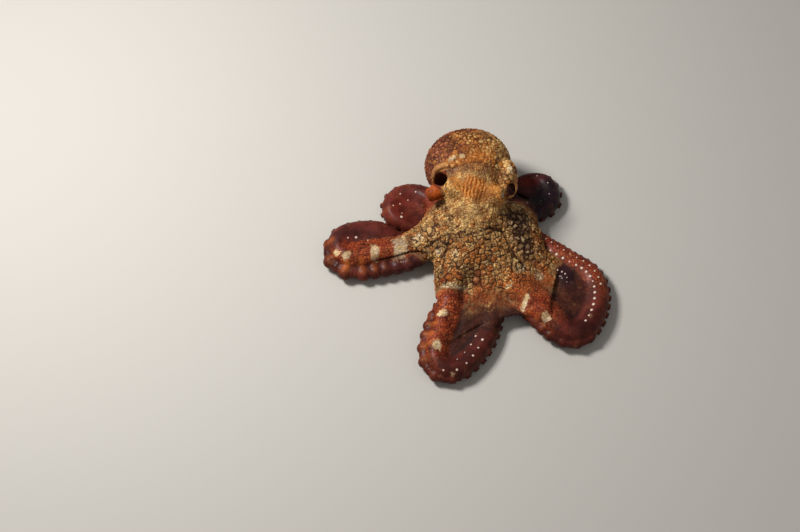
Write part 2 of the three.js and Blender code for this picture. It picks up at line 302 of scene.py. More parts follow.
def ease(value, low, high):
    t = np.clip((np.asarray(value, float) - low) / (high - low), 0, 1)
    return t * t * (3 - 2 * t)


# 0 up to the first pair of values, 1 from there to the second pair and 0 past it
def band(value, rise, fall):
    return ease(value, *rise) * (1 - ease(value, *fall))


def unit(vectors):
    return vectors / np.maximum(np.linalg.norm(vectors, axis=-1, keepdims=True), 1e-9)


def armLength(arm):
    return sum(length for length, turn in arm["bends"])


def armRadius(arm, s):
    whole = armLength(arm)
    tip = armForm["tipRadius"]
    taper = arm["radii"][0] + (arm["radii"][1] - arm["radii"][0]) * s / whole
    tail = np.maximum(0, (s - whole) / arm["tail"] + 1)
    past = np.maximum(0, (s - whole) / tip + 1)
    return (taper + (tip - taper) * tail) * np.sqrt(np.maximum(0.01, 1 - past * past))


# Places along the arm's middle line, with the directions across it at each
def armLine(arm, s):
    s = np.asarray(s, float)
    root = math.radians(arm["root"])
    x = armForm["crownCentre"][0] + armForm["start"] * math.cos(root) + 0 * s
    y = armForm["crownCentre"][1] + armForm["start"] * math.sin(root) + 0 * s
    heading = math.radians(arm["heading"]) + 0 * s
    before = 0.0
    for length, turn in arm["bends"]:
        run = np.clip(s - before, 0, length)
        swing = math.radians(turn) * run / length
        chord = run * np.sinc(swing / 2 / math.pi)
        x = x + chord * np.cos(heading + swing / 2)
        y = y + chord * np.sin(heading + swing / 2)
        heading = heading + swing
        before += length
    radius = armRadius(arm, s)
    drop = 1 - ease(s, 0, armForm["settleLength"])
    z = armForm["sinkage"] * radius + (armForm["rootHeight"] - armForm["sinkage"] * arm["radii"][0]) * drop
    outside = np.stack([np.sin(heading), -np.cos(heading), 0 * s], -1) * arm["outside"]
    roll = math.radians(armForm["suckerRoll"]) * ease(s, 0, armForm["rollLength"])[..., None]
    up = np.array([0, 0, 1.0])
    back = up * np.cos(roll) - outside * np.sin(roll)
    rim = outside * np.cos(roll) + up * np.sin(roll)
    return {"point": np.stack([x, y, z], -1), "back": back, "rim": rim, "radius": radius}


suckerForm = {"from": 34, "bareTip": 4, "row": 23, "leastPitch": 3.2, "width": 0.64, "reach": 1.10,
              "leastWidth": 1.8}


# Distances along the arm of its suckers, with their rows: 1 is the upper, outer one
def suckerPlaces(arm):
    places = []
    s = suckerForm["from"]
    while s < armLength(arm) - suckerForm["bareTip"]:
        places.append(s)
        s += max(suckerForm["leastPitch"], arm["pitch"] * float(armRadius(arm, s))) / 2
    rows = [1 if i % 2 == 0 else -1 for i in range(len(places))]
    return np.array(places), np.array(rows)


lobeFade = (10, 15)  # how far outside and inside its ends a run of lobes rises


# How far beyond the rest the outer suckers stand on fleshy lobes, in radii
def lobeReach(arm, s):
    if "lobes" not in arm:
        return 0.0 * np.asarray(s, float)
    first, last, out = arm["lobes"]
    before, after = lobeFade
    return out * ease(s, first - before, first + after) * (1 - ease(s, last - after, last + before))


# Direction across an arm, at an angle in degrees from the middle of its underside
def underAim(line, angle, side=1):
    turn = math.radians(angle)
    return -line["back"] * math.cos(turn) + line["rim"] * math.sin(turn) * side


def makeLump(at, radii, yaw=0, pitch=0):
    return {"at": at, "radii": radii, "yaw": yaw, "pitch": pitch}


body = {
    "mantle": makeLump((1, 101, 58), (54, 56, 43), yaw=9, pitch=-16),
    "mantleTaper": 0.1,
    "mantleRest": 26,
    "mantleFlattening": 0.4,
    "head": makeLump((9, 48, 56), (32, 38, 27), yaw=5),
    "neck": makeLump((5, 69, 66), (31, 33, 29), yaw=8),
    "leftBulge": makeLump((30, 50, 77), (14, 15, 13)),
    "rightBulge": makeLump((-17, 59, 79), (13, 14, 13)),
    "flap": makeLump((47, 82, 70), (14, 23, 18)),
    "shoulder": makeLump((-27, -32, 20), (16, 24, 20)),
    "crownLevels": {
        "z": (-6, 14, 24, 34, 44, 54, 63, 68),
        "x": (12, 12, 14, 14, 11, 9, 9, 9),
        "y": (20, 20, 20, 22, 25, 29, 34, 38),
        "halfWidth": (50, 60, 73, 71, 58, 42, 29, 20),
        "halfDepth": (38, 45, 50, 49, 45, 39, 30, 20),
        "slope": 0.75,
    },
}

funnel = {
    "from": (-26, 74, 60),
    "to": (-51, 64, 52),
    "baseRadius": 10.5,
    "endRadius": 8,
    "samples": 20,
    "bare": 4,  # samples left off its end, because the last ball reaches on past its middle
    "mouthRadius": 5,
    "mouthDepths": (-4, 9),
    "mouthSamples": 8,
}

openings = {
    "right": {
        "pocket": makeLump((-34, 74, 76), (9.0, 8.0, 17), pitch=30),
        "lip": [(-44, 74, 72), (-43, 78, 78), (-39, 84, 83), (-31, 85, 88), (-21, 81, 91)],
        "radius": 4.6,
    },
    "left": {
        "pocket": makeLump((52, 65, 68), (5.5, 8, 16), pitch=30),
        "lip": [(51, 79, 84), (56.5, 71, 78), (57.5, 64, 70), (52, 58.5, 62.5), (43, 56, 57.5)],
        "radius": 3.0,
    },
}
lipForm = {"samples": 30, "endShare": 0.3}

# Front edge of the mantle over the neck: it stands a little above the skin before it
mantleEdge = {
    "x": (-60, -46, -44, -40, -32, -21, -11, 1, 11, 21, 30, 36, 40, 45, 60),
    "y": (50, 60, 72, 80, 82, 79, 81, 83, 84, 83, 81, 77, 72, 60, 50),
    "step": 1.4,
    "stepAcross": ((-0.5, 1), (2, 9)),
    "groove": 0.6,
    "grooveAcross": ((-4, -1), (-1, 0.5)),
}

eyes = {
    "radius": 7.0,
    "left": {"bulge": "leftBulge", "look": (0.8, -0.25, 0.5)},
    "right": {"bulge": "rightBulge", "look": (-0.8, -0.25, 0.5)},
    "lidThickness": 1.5,
    "openingHalf": (5.4, 3.4),
}
sides = ("left", "right")

# Webs from arm to arm, and folds of skin that fill the loop of an arm
webs = [
    {"from": "right_1", "to": "left_1", "reach": (150, 108), "dip": 0.13, "sag": 2},
    {"from": "left_1", "to": "left_2", "reach": (118, 94), "dip": 0.0, "sag": 0, "height": 0.95},
    {"from": "left_2", "to": "left_3", "reach": (90, 85), "dip": 0.15, "sag": 2},
    {"from": "left_3", "to": "left_4", "reach": (95, 95), "dip": 0.15, "sag": 3},
    {"from": "left_4", "to": "right_4", "reach": (95, 95), "dip": 0.15, "sag": 3},
    {"from": "right_4", "to": "right_3", "reach": (100, 95), "dip": 0.1, "sag": 3},
    {"from": "right_3", "to": "right_2", "reach": (80, 85), "dip": 0.2, "sag": 3},
    {"from": "right_2", "to": "right_1", "reach": (48, 96), "dip": 0.25, "sag": 3},
]
folds = [
    {"arm": "right_1", "bend": 174, "back": 96, "on": 98, "sag": 4, "height": 0.6},
    {"arm": "left_1", "bend": 182, "back": 112, "on": 140, "sag": 3, "height": 0.58},
    {"arm": "right_2", "bend": 171, "back": 70, "on": 78, "sag": 1, "height": 0.65},
    {"arm": "right_3", "bend": 142, "back": 54, "on": 60, "sag": 1, "height": 0.65},
    {"arm": "left_3", "bend": 136, "back": 48, "on": 48, "sag": 1, "height": 0.55},
]
webForm = {"thickness": 3.6, "floorClear": 5, "height": 0.45, "webSamples": (90, 70), "webStart": 0.2,
           "foldSamples": (90, 60), "foldStart": 0.02, "cell": 1.6}

skinFloor = 1.2  # the suckers carry the skin this far above the floor
skinGrid = {
    "step": 1.15,
    "low": (-188, -184, -4),
    "high": (186, 164, 108),
    "far": 40.0,
}
joins = {"shoulder": 12, "root": 16, "web": 7, "neck": 12, "mantle": 3, "bulge": 6, "lip": 2.5, "funnel": 4,
         "flap": 6, "cut": 2, "lid": 3, "socket": 0.6, "lidOpening": 1.5}
# How far beyond a ball its distances are laid down
margins = {"arm": 18, "lobe": 8, "pad": 6, "web": 6, "funnel": 8, "mouth": 4, "lip": 5}


# The skin is worked out as distances to its surface on an even grid, negative inside
class Distances:
    def __init__(self):
        low, high, step = skinGrid["low"], skinGrid["high"], skinGrid["step"]
        self.low = np.array(low, float)
        self.step = step
        self.axes = [np.arange(low[i], high[i] + step, step, dtype=np.float32) for i in range(3)]

    def blank(self):
        return np.full([len(a) for a in self.axes], skinGrid["far"], np.float32)

    # The part of the grid between two corners: its slices, and its open coordinate arrays
    def window(self, low, high):
        spans = []
        coordinates = []
        for i in range(3):
            first = max(0, int(math.floor((low[i] - self.low[i]) / self.step)))
            last = min(len(self.axes[i]), int(math.ceil((high[i] - self.low[i]) / self.step)) + 1)
            spans.append(slice(first, max(first, last)))
            shape = [1, 1, 1]
            shape[i] = -1
            coordinates.append(self.axes[i][spans[i]].reshape(shape))
        return tuple(spans), coordinates

    def addBall(self, field, at, radius, around):
        reach = radius + around
        spans, (x, y, z) = self.window([c - reach for c in at], [c + reach for c in at])
        distance = np.sqrt((x - at[0]) ** 2 + (y - at[1]) ** 2 + (z - at[2]) ** 2) - radius
        np.minimum(field[spans], distance, out=field[spans])

    def addBalls(self, field, places, radii, around):
        for at, radius in zip(np.asarray(places, np.float32), np.broadcast_to(radii, len(places))):
            self.addBall(field, at, np.float32(radius), around)

    # Value of a field at points of the layout
    def read(self, field, points):
        spot = (points - self.low) / self.step
        corner = np.clip(np.floor(spot).astype(int), 0, np.array(field.shape) - 2)
        part = np.clip(spot - corner, 0, 1)
        total = 0
        for dx in (0, 1):
            for dy in (0, 1):
                for dz in (0, 1):
                    weight = ((part[:, 0] if dx else 1 - part[:, 0]) * (part[:, 1] if dy else 1 - part[:, 1])
                              * (part[:, 2] if dz else 1 - part[:, 2]))
                    total = total + weight * field[corner[:, 0] + dx, corner[:, 1] + dy, corner[:, 2] + dz]
        return total


# Two shapes joined over a fillet, and one cut out of the other
def merged(a, b, blend):
    near = np.maximum(blend - np.abs(a - b), 0) / blend
    return np.minimum(a, b) - near * near * (blend / 4)


def carved(a, b, blend):
    return -merged(-a, b, blend)


# Coordinates across, along and up a lump from its middle
def inLump(x, y, z, lump, taper=0.0):
    x = x - lump["at"][0]
    y = y - lump["at"][1]
    z = z - lump["at"][2]
    yaw, pitch = math.radians(lump["yaw"]), math.radians(lump["pitch"])
    across = x * math.cos(yaw) + y * math.sin(yaw)
    along = -x * math.sin(yaw) + y * math.cos(yaw)
    along, upward = (along * math.cos(pitch) + z * math.sin(pitch),
                     -along * math.sin(pitch) + z * math.cos(pitch))
    wider = 1 + taper * along / lump["radii"][1]
    return across / wider, along, upward / wider


def lumpDistance(x, y, z, lump, taper=0.0):
    a, b, c = inLump(x, y, z, lump, taper)
    ra, rb, rc = lump["radii"]
    level = np.sqrt((a / ra) ** 2 + (b / rb) ** 2 + (c / rc) ** 2)
    slope = np.sqrt((a / ra ** 2) ** 2 + (b / rb ** 2) ** 2 + (c / rc ** 2) ** 2)
    return level * (level - 1) / np.maximum(slope, 1e-4)


def crownDistance(x, y, z):
    levels = body["crownLevels"]
    heights = z.ravel()
    x0, y0, wide, deep = (np.interp(heights, levels["z"], levels[key]).reshape(1, 1, -1)
                          for key in ("x", "y", "halfWidth", "halfDepth"))
    level = np.sqrt(((x - x0) / wide) ** 2 + ((y - y0) / deep) ** 2)
    return np.maximum((level - 1) * np.minimum(wide, deep) * levels["slope"], z - levels["z"][-1])


def mantleDistance(x, y, z):
    rest = body["mantleRest"]
    unsunk = np.where(z < rest, rest + (z - rest) / body["mantleFlattening"], z)
    return lumpDistance(x, y, unsunk, body["mantle"], body["mantleTaper"])


# Points along a smooth curve through the given ones
def curvePoints(points, count):
    points = np.array(points, float)
    padded = np.vstack([2 * points[0] - points[1], points, 2 * points[-1] - points[-2]])
    places = []
    for t in np.linspace(0, len(points) - 1 - 1e-6, count):
        i = int(t)
        u = t - i
        a, b, c, d = padded[i:i + 4]
        places.append(0.5 * (2 * b + (c - a) * u + (2 * a - 5 * b + 4 * c - d) * u * u
                             + (3 * b - a - 3 * c + d) * u ** 3))
    return np.array(places)


padForm = {
    "lobeAngle": 10,
    "lobeRadius": 0.54,
    "lobeBeads": (0.4, 1.0),
    "leastLobe": 0.02,
    "skirtRadius": 0.46,
    "skirtStep": 3.0,
    "skirtShare": 0.92,
    "skirtLoss": 0.22,
    "skirtNarrows": (90, 125),
    "padOut": 0.72,
    "padRadius": 0.46,
    "ribAngle": 68,
    "ribOut": 0.72,
    "ribRadius": 0.36,
    "ribThinning": 0.25,
    "ribSteps": 5,
}


def addArmBalls(grid, field, arm):
    s = np.arange(0, armLength(arm), armForm["sampleStep"])
    line = armLine(arm, s)
    grid.addBalls(field, line["point"], line["radius"] * armForm["fullness"], margins["arm"])
    for place, row in zip(*suckerPlaces(arm)):
        addSuckerPad(grid, field, arm, place, row)


def addLobe(grid, field, line, lobe, size):
    side = underAim(line, suckerForm["row"] + padForm["lobeAngle"])
    for share in padForm["lobeBeads"]:
        reach = line["radius"] * (padForm["padOut"] + lobe * share)
        grid.addBall(field, line["point"] + side * reach, float(line["radius"]) * size, margins["lobe"])


# The fleshy skirt that joins the lobes of an arm
def addSkirt(grid, field, arm):
    for s in np.arange(0, armLength(arm), padForm["skirtStep"]):
        lobe = float(lobeReach(arm, s))
        if lobe > padForm["leastLobe"]:
            share = padForm["skirtShare"] - padForm["skirtLoss"] * float(ease(s, *padForm["skirtNarrows"]))
            addLobe(grid, field, armLine(arm, s), lobe * share, padForm["skirtRadius"])


# The muscular foot under a sucker; in the outer row it runs up the flank of the arm as a rib
def addSuckerPad(grid, field, arm, s, row):
    line = armLine(arm, s)
    radius = float(line["radius"])
    foot = line["point"] + underAim(line, suckerForm["row"], row) * radius * padForm["padOut"]
    grid.addBall(field, foot, radius * padForm["padRadius"], margins["pad"])
    if row < 0:
        return
    lobe = float(lobeReach(arm, s))
    if lobe > padForm["leastLobe"]:
        addLobe(grid, field, line, lobe, padForm["lobeRadius"])
    flank = underAim(line, suckerForm["row"] + padForm["ribAngle"])
    top = line["point"] + flank * radius * padForm["ribOut"]
    for t in np.linspace(0, 1, padForm["ribSteps"]):
        size = radius * (padForm["padRadius"] * (1 - t) + padForm["ribRadius"] * t)
        size *= 1 - padForm["ribThinning"] * t
        grid.addBall(field, foot + (top - foot) * t, size, margins["pad"])


# Shares of a sheet from its root to its edge and from one side to the other
def sheetShares(first, samples):
    return np.meshgrid(np.linspace(first, 1, samples[0]), np.linspace(0, 1, samples[1]), indexing="ij")


# The sheet of straight lines from one line to another, which sags between them
def sheetPoints(start, end, v, sag):
    points = start["point"] * (1 - v[..., None]) + end["point"] * v[..., None]
    points[..., 2] = np.maximum(points[..., 2] - sag * np.sin(math.pi * v), webForm["floorClear"])
    return thinned(points.reshape(-1, 3), webForm["cell"])


def webPoints(web):
    u, v = sheetShares(webForm["webStart"], webForm["webSamples"])
    edge = 1 - web["dip"] * np.sin(math.pi * v)
    start = armLine(arms[web["from"]], u * web["reach"][0] * edge)
    end = armLine(arms[web["to"]], u * web["reach"][1] * edge)
    for side in (start, end):
        side["point"][..., 2] += web.get("height", webForm["height"]) * side["radius"]
    return sheetPoints(start, end, v, web["sag"] * u)


def foldPoints(fold):
    u, v = sheetShares(webForm["foldStart"], webForm["foldSamples"])
    arm = arms[fold["arm"]]
    before = armLine(arm, fold["bend"] - u * fold["back"])
    after = armLine(arm, fold["bend"] + u * fold["on"])
    for side in (before, after):
        side["point"][..., 2] += fold["height"] * side["radius"]
    return sheetPoints(before, after, v, fold["sag"])


# One point for each cell of the given size, so that a sheet is laid down only once
def thinned(points, cell):
    _, first = np.unique(np.floor(points / cell).astype(int), axis=0, return_index=True)
    return points[first]


# The middle of an eye, the direction it looks in, and the level and upward directions across that
def eyeFrame(side):
    low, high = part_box("eye_" + side)
    centre = np.array((low + high) / 2) / mm - layoutShift
    look = unit(np.array(eyes[side]["look"]))
    level = unit(np.cross((0, 0, 1.0), look))
    return centre, look, level, np.cross(look, level)


# Distance to the lens-shaped opening between the lids, as a cone from the middle of the eye
def lidOpening(x, y, z, side):
    centre, *directions = eyeFrame(side)
    dx, dy, dz = x - centre[0], y - centre[1], z - centre[2]
    ahead, across, rise = (dx * way[0] + dy * way[1] + dz * way[2] for way in directions)
    halfWidth, halfHeight = eyes["openingHalf"]
    oval = np.sqrt((across / halfWidth) ** 2 + (rise / halfHeight) ** 2)
    return np.maximum((oval - 1) * halfHeight, -ahead)


def headField(x, y, z):
    head = merged(lumpDistance(x, y, z, body["head"]), lumpDistance(x, y, z, body["neck"]), joins["neck"])
    for side in sides:
        bulge = lumpDistance(x, y, z, body[eyes[side]["bulge"]])
        head = merged(head, bulge, joins["bulge"])
        at = eyeFrame(side)[0]
        ball = np.sqrt((x - at[0]) ** 2 + (y - at[1]) ** 2 + (z - at[2]) ** 2) - eyes["radius"]
        head = merged(head, ball - eyes["lidThickness"], joins["lid"])
        head = carved(head, ball, joins["socket"])
        head = carved(head, lidOpening(x, y, z, side), joins["lidOpening"])
    return head


def funnelField(grid):
    tube = grid.blank()
    line = np.linspace(0, 1, funnel["samples"])[:, None]
    middle = np.array(funnel["from"]) * (1 - line) + np.array(funnel["to"]) * line
    radii = funnel["baseRadius"] + (funnel["endRadius"] - funnel["baseRadius"]) * line[:, 0] ** 2
    grid.addBalls(tube, middle[:-funnel["bare"]], radii[:-funnel["bare"]], margins["funnel"])
    inward = unit(np.array(funnel["from"], float) - np.array(funnel["to"], float))
    mouth = grid.blank()
    depths = np.linspace(*funnel["mouthDepths"], funnel["mouthSamples"])[:, None]
    grid.addBalls(mouth, np.array(funnel["to"]) + depths * inward, funnel["mouthRadius"], margins["mouth"])
    return carved(tube, mouth, joins["cut"])


def lipField(grid):
    lips = grid.blank()
    bow = np.sin(np.linspace(0, math.pi, lipForm["samples"]))
    for opening in openings.values():
        sizes = opening["radius"] * (lipForm["endShare"] + (1 - lipForm["endShare"]) * bow)
        grid.addBalls(lips, curvePoints(opening["lip"], lipForm["samples"]), sizes, margins["lip"])
    return lips


def buildFields():
    grid = Distances()
    _, (x, y, z) = grid.window(skinGrid["low"], skinGrid["high"])
    fields = {}
    shoulder = lumpDistance(x, y, z, body["shoulder"])
    fields["crown"] = merged(crownDistance(x, y, z), shoulder, joins["shoulder"])
    fields["head"] = headField(x, y, z)
    mantle = merged(mantleDistance(x, y, z), lumpDistance(x, y, z, body["flap"]), joins["flap"])
    print("  body lumps")
    fields["funnel"] = funnelField(grid)
    fields["lips"] = lipField(grid)
    fields["mantle"] = merged(mantle, fields["lips"], joins["lip"])
    fields["pockets"] = np.minimum(*(lumpDistance(x, y, z, opening["pocket"])
                                     for opening in openings.values()))
    print("  funnel and openings")
    fields["arms"] = grid.blank()
    for arm in arms.values():
        addArmBalls(grid, fields["arms"], arm)
        addSkirt(grid, fields["arms"], arm)
    fields["webs"] = grid.blank()
    for sheet in [webPoints(web) for web in webs] + [foldPoints(fold) for fold in folds]:
        grid.addBalls(fields["webs"], sheet, webForm["thickness"] / 2, margins["web"])
    print("  arms and webs")
    return grid, fields


def joinFields(fields, z):
    limbs = merged(fields["arms"], fields["webs"], joins["web"])
    trunk = merged(fields["crown"], fields["head"], joins["neck"])
    whole = merged(trunk, limbs, joins["root"])
    whole = merged(whole, fields["funnel"], joins["funnel"])
    whole = merged(whole, fields["mantle"], joins["mantle"])
    whole = carved(whole, fields["pockets"], joins["cut"])
    return np.maximum(whole, skinFloor - z)


def placeVertices(mesh, points):
    mesh.vertices.foreach_set("co", inModel(points).astype(np.float32).ravel())


def layoutPoints(mesh):
    places = np.zeros(3 * len(mesh.vertices), np.float32)
    mesh.vertices.foreach_get("co", places)
    return places.reshape(-1, 3) / mm - layoutShift


def meshFromField(name, grid, field):
    volume = openvdb.FloatGrid(background=skinGrid["far"])
    volume.copyFromArray(np.ascontiguousarray(field, dtype=np.float32))
    points, quads = volume.convertToQuads(isovalue=0.0)
    mesh = bpy.data.meshes.new(name)
    mesh.vertices.add(len(points))
    placeVertices(mesh, points * grid.step + grid.low)
    mesh.loops.add(4 * len(quads))
    mesh.loops.foreach_set("vertex_index", quads.astype(np.int32).ravel())
    mesh.polygons.add(len(quads))
    mesh.polygons.foreach_set("loop_start", np.arange(0, 4 * len(quads), 4, dtype=np.int32))
    mesh.update(calc_edges=True)
    mesh.validate()
    return mesh


# Cobbles and net of grooves, the same in the relief and in the colours
cobbles = {
    "bodySize": 7.0,
    "mantleSize": 5.0,
    "netSize": 3.8,
    "wander": 3.0,
    "wanderSize": 12.0,
    "bodyHeight": 1.6,
    "mantleHeight": 1.3,
    "netHeight": 0.4,
    "grooveWidth": 0.30,
    "restLevel": 0.6,
}


def wandering(nodes, place):
    values = {"Vector": place, "Scale": 1 / (cobbles["wanderSize"] * mm), "Detail": 1.0}
    noise = nodes.add("ShaderNodeTexNoise", {}, values, 1)
    return place + (noise - 0.5) * (2 * cobbles["wander"] * mm)


def cells(nodes, place, size, feature="DISTANCE_TO_EDGE", output=0):
    values = {"Vector": place, "Scale": 1 / (size * mm), "Randomness": 0.9}
    return nodes.add("ShaderNodeTexVoronoi", {"feature": feature}, values, output)


def domes(nodes, place, size):
    return cells(nodes, place, size).between(0.0, cobbles["grooveWidth"])


def reliefTree():
    nodes, size, identifiers = newTree("skinRelief", {
        "Body height": "Float", "Mantle height": "Float", "Net height": "Float"})

    def mask(name):
        return nodes.add("GeometryNodeInputNamedAttribute", {"data_type": "FLOAT"}, {"Name": name})

    place = wandering(nodes, nodes.add("GeometryNodeInputPosition"))

    def domeRise(pattern, height, where):
        dome = domes(nodes, place, cobbles[pattern]) - cobbles["restLevel"]
        return dome * size[height] * mask(where)

    rise = domeRise("bodySize", "Body height", "cobble") + domeRise("mantleSize", "Mantle height", "pebble")
    rise = rise + domeRise("netSize", "Net height", "net") + mask("ridge") * mm
    normal = nodes.add("GeometryNodeInputNormal")
    offset = nodes.add("ShaderNodeVectorMath", {"operation": "SCALE"}, {0: normal, "Scale": rise})
    endTree(nodes, nodes.add("GeometryNodeSetPosition", {}, {"Geometry": size["Geometry"], "Offset": offset}))
    return nodes, identifiers


# Lengths along each arm where painted shade darkens its underside, where the cobbled skin of the body ends
# and where red turns maroon. violet is how far the maroon goes towards purple-black. ribs are the ends
# and the strength of the orange ribs over the suckers.
armSkin = {
    name: {"under": under, "cobbles": cobbled, "maroon": maroon, "violet": violet, "ribs": ribs}
    for name, under, cobbled, maroon, violet, ribs in [
        ("right_1", 96, (50, 68), (140, 172), 0.0, (104, 152, 0.8)),
        ("left_1", 96, (55, 95), (116, 146), 0.0, (95, 132, 0.35)),
        ("right_2", 44, (60, 88), (150, 182), 0.1, (112, 172, 0.85)),
        ("left_2", 60, (86, 96), (88, 98), 0.75, (100, 101, 0.0)),
        ("right_3", 50, (20, 50), (40, 100), 0.0, (60, 160, 0.2)),
        ("left_3", 50, (30, 60), (45, 80), 1.0, (60, 160, 0.1)),
        ("right_4", 50, (20, 50), (40, 80), 0.4, (60, 100, 0.2)),
        ("left_4", 50, (20, 50), (40, 80), 0.6, (60, 100, 0.2)),
    ]
}
litAgain = {"arm": "left_1", "ends": (205, 250), "share": 0.7}  # its last length is brick red again
plainLoops = {"arms": ("right_3", "left_3"), "share": 0.3}  # the folds in them have the arm's own colour
# A fold line along the lower side of an arm, carved a little and darkened with painted shade
lowerCrease = {"arm": "right_2", "turn": 106, "edges": (2, 7), "run": ((48, 62), (108, 124)),
               "away": (1.3, 1.6)}
veiled = {"arm": "right_1", "ends": (246, 258)}  # its end lies under the front web
# Painted shade on the undersides of the arms: they turn maroon and, nearer the crown, violet-dark
shadedUnderside = {"turn": (104, 122), "length": 14, "maroon": 0.85, "violet": 0.5, "violetEnds": (90, 125)}
webEdge = {"away": (1.15, 1.75), "lobe": 0.2, "turn": (40, 70)}  # where arm gives way to web, in radii

# Soft-edged patches on the back of the animal: x, y, half length, half width, turn, strength
patches = {
    "cream": [
        (-22, -54, 20, 4, 0, 0.85), (-35, -88, 8, 5, 10, 0.9), (-41, -131, 7, 7, 0, 0.75),
        (-23, -167, 6, 4, 0, 0.6), (68, -73, 10, 3.2, 70, 1.1), (86, -36, 7, 8, 0, 0.8),
        (62, -30, 10, 7, 40, 0.75), (93, -93, 6, 8, 30, 0.85), (-151, -7, 6, 5, 0, 1.0),
        (-163, -2, 3.5, 4, 0, 0.9), (-116, -3, 5.5, 11, 0, 1.05), (-85, 4, 9, 13, 0, 1.1),
        (-62, 10, 8, 9, 0, 0.8), (50, 84, 5, 12, 0, 0.7),
        (149, -91, 5, 6, 0, 0.6), (96, -101, 4, 4, 0, 0.55), (-37, -8, 3.4, 3.4, 0, 1.3),
        (-17, -15, 3.8, 3.8, 0, 1.2), (-9, 93, 3.2, 3.4, 0, 1.1), (-21, 92, 8, 4, 15, 0.6),
        (30, -6, 5, 5, 0, 0.5), (50, -50, 9, 5, 40, 0.6), (75, 40, 5, 5, 0, 0.5),
        (52, 4, 6, 9, 0, 0.5), (-4, 20, 9, 5, 0, 0.45),
    ],
    "pale": [
        (-27, 57, 3.5, 9, 0, 1.0), (-21, 48, 9, 5, 0, 0.9), (43, 57, 3, 8, 0, 1.0),
        (24, 36, 12, 6, 0, 0.9), (-6, 37, 14, 6, 0, 0.9), (40, 112, 17, 30, 0, 0.75),
        (8, 70, 26, 6, 0, 0.5), (2, 22, 32, 9, 0, 0.65), (-32, -6, 14, 14, 0, 0.6),
        (24, -76, 9, 5, 0, 0.5), (-60, 8, 22, 12, 0, 0.5), (50, -34, 14, 6, 40, 0.6),
    ],
    "shade": [
        (62, 28, 17, 26, 0, 0.9), (70, 0, 15, 20, 0, 0.8), (52, -18, 12, 14, 0, 0.45),
        (40, 8, 10, 14, 0, 0.35), (9, -44, 13, 12, 0, 0.8), (3, -68, 13, 14, 0, 0.75),
        (-46, 20, 8, 14, 0, 0.4),
    ],
    "warm": [
        (-24, -44, 24, 14, 0, 0.7), (20, -62, 26, 20, 0, 0.8), (60, -50, 22, 20, -30, 1.15),
        (88, -44, 14, 22, -20, 1.25), (34, -34, 34, 12, 0, 0.55), (-30, -62, 14, 10, 0, 0.8),
        (-70, 0, 26, 12, 0, 0.45), (4, -14, 36, 10, 0, 0.4), (84, 8, 8, 20, 0, 0.5),
    ],
    # Painted shade: patches over the arms where the colour is multiplied darker
    "paintedShade": [
        (-118, -6, 55, 26, 0, 0.9), (-150, 10, 30, 30, 0, 0.5), (-30, -150, 40, 30, 0, 0.5),
        (100, -110, 40, 24, -20, 0.45),
    ],
    "rust": [(77, 112, 14, 8, 0, 1.0), (70, 96, 12, 4, 0, 0.5), (-88, 80, 26, 26, 0, 0.6)],
    "mottle": [
        (-46, 118, 24, 38, -20, 1.0), (-16, 146, 40, 16, 0, 0.95), (30, 148, 26, 10, 0, 0.5),
        (-20, 112, 14, 16, 0, 0.5), (-46, 84, 10, 16, 0, 0.9),
    ],
    "brow": [(6, 53, 14, 13, 0, 1.7)],
    "mantleWarm": [(16, 96, 26, 12, 0, 0.9), (-6, 84, 16, 6, 0, 0.7)],
}


def patchShare(points, kind):
    share = np.zeros(len(points))
    for x, y, halfLength, halfWidth, turn, strength in patches[kind]:
        c, s = math.cos(math.radians(turn)), math.sin(math.radians(turn))
        dx, dy = points[:, 0] - x, points[:, 1] - y
        along = (dx * c + dy * s) / halfLength
        across = (dy * c - dx * s) / halfWidth
        share = np.maximum(share, strength * np.exp(-0.7 * (along ** 2 + across ** 2)))
    return share


# Long creases of the skin over the crown, as points of the layout seen from above; each is carved a little
# and darkened with painted shade
creases = [
    [(-50, 0), (-36, 6), (-22, 9), (-8, 2), (11, 5), (22, 11), (40, 12)],
    [(-46, -12), (-64, -15), (-85, -17), (-110, -18)],
    [(-30, 34), (-12, 26), (10, 22), (32, 26), (46, 34)],
    [(40, 12), (52, -8), (70, -30)],
    [(-22, 9), (-30, -14), (-34, -38)],
]
# A deeper furrow between the front right arm and the front web, carved a little and darkened with painted
# shade
furrow = {"line": [(-8, -56), (-12, -98), (-24, -124), (-27, -142)], "halfWidth": 6, "strength": 0.75}
creaseForm = {"halfWidth": 2.4, "depth": 1.4}


def creaseShare(points, lines, halfWidth):
    least = np.full(len(points), 1e3)
    for line in lines:
        for a, b in zip(np.array(line[:-1], float), np.array(line[1:], float)):
            spoke = points[:, :2] - a
            t = np.clip(spoke @ (b - a) / ((b - a) @ (b - a)), 0, 1)
            least = np.minimum(least, np.linalg.norm(spoke - t[:, None] * (b - a), axis=1))
    return (1 - ease(least, 0.4, halfWidth)) * ease(points[:, 2], 12, 20)


def armSamples():
    names = list(arms)
    tables = []
    for index, name in enumerate(names):
        s = np.arange(0, armLength(arms[name]), armForm["sampleStep"])
        tables.append((np.full(len(s), index), s, armLine(arms[name], s)))
    joined = {key: np.concatenate([line[key] for _, _, line in tables])
              for key in ("point", "back", "rim", "radius")}
    joined["arm"] = np.concatenate([arm for arm, _, _ in tables])
    joined["s"] = np.concatenate([s for _, s, _ in tables])
    return names, joined


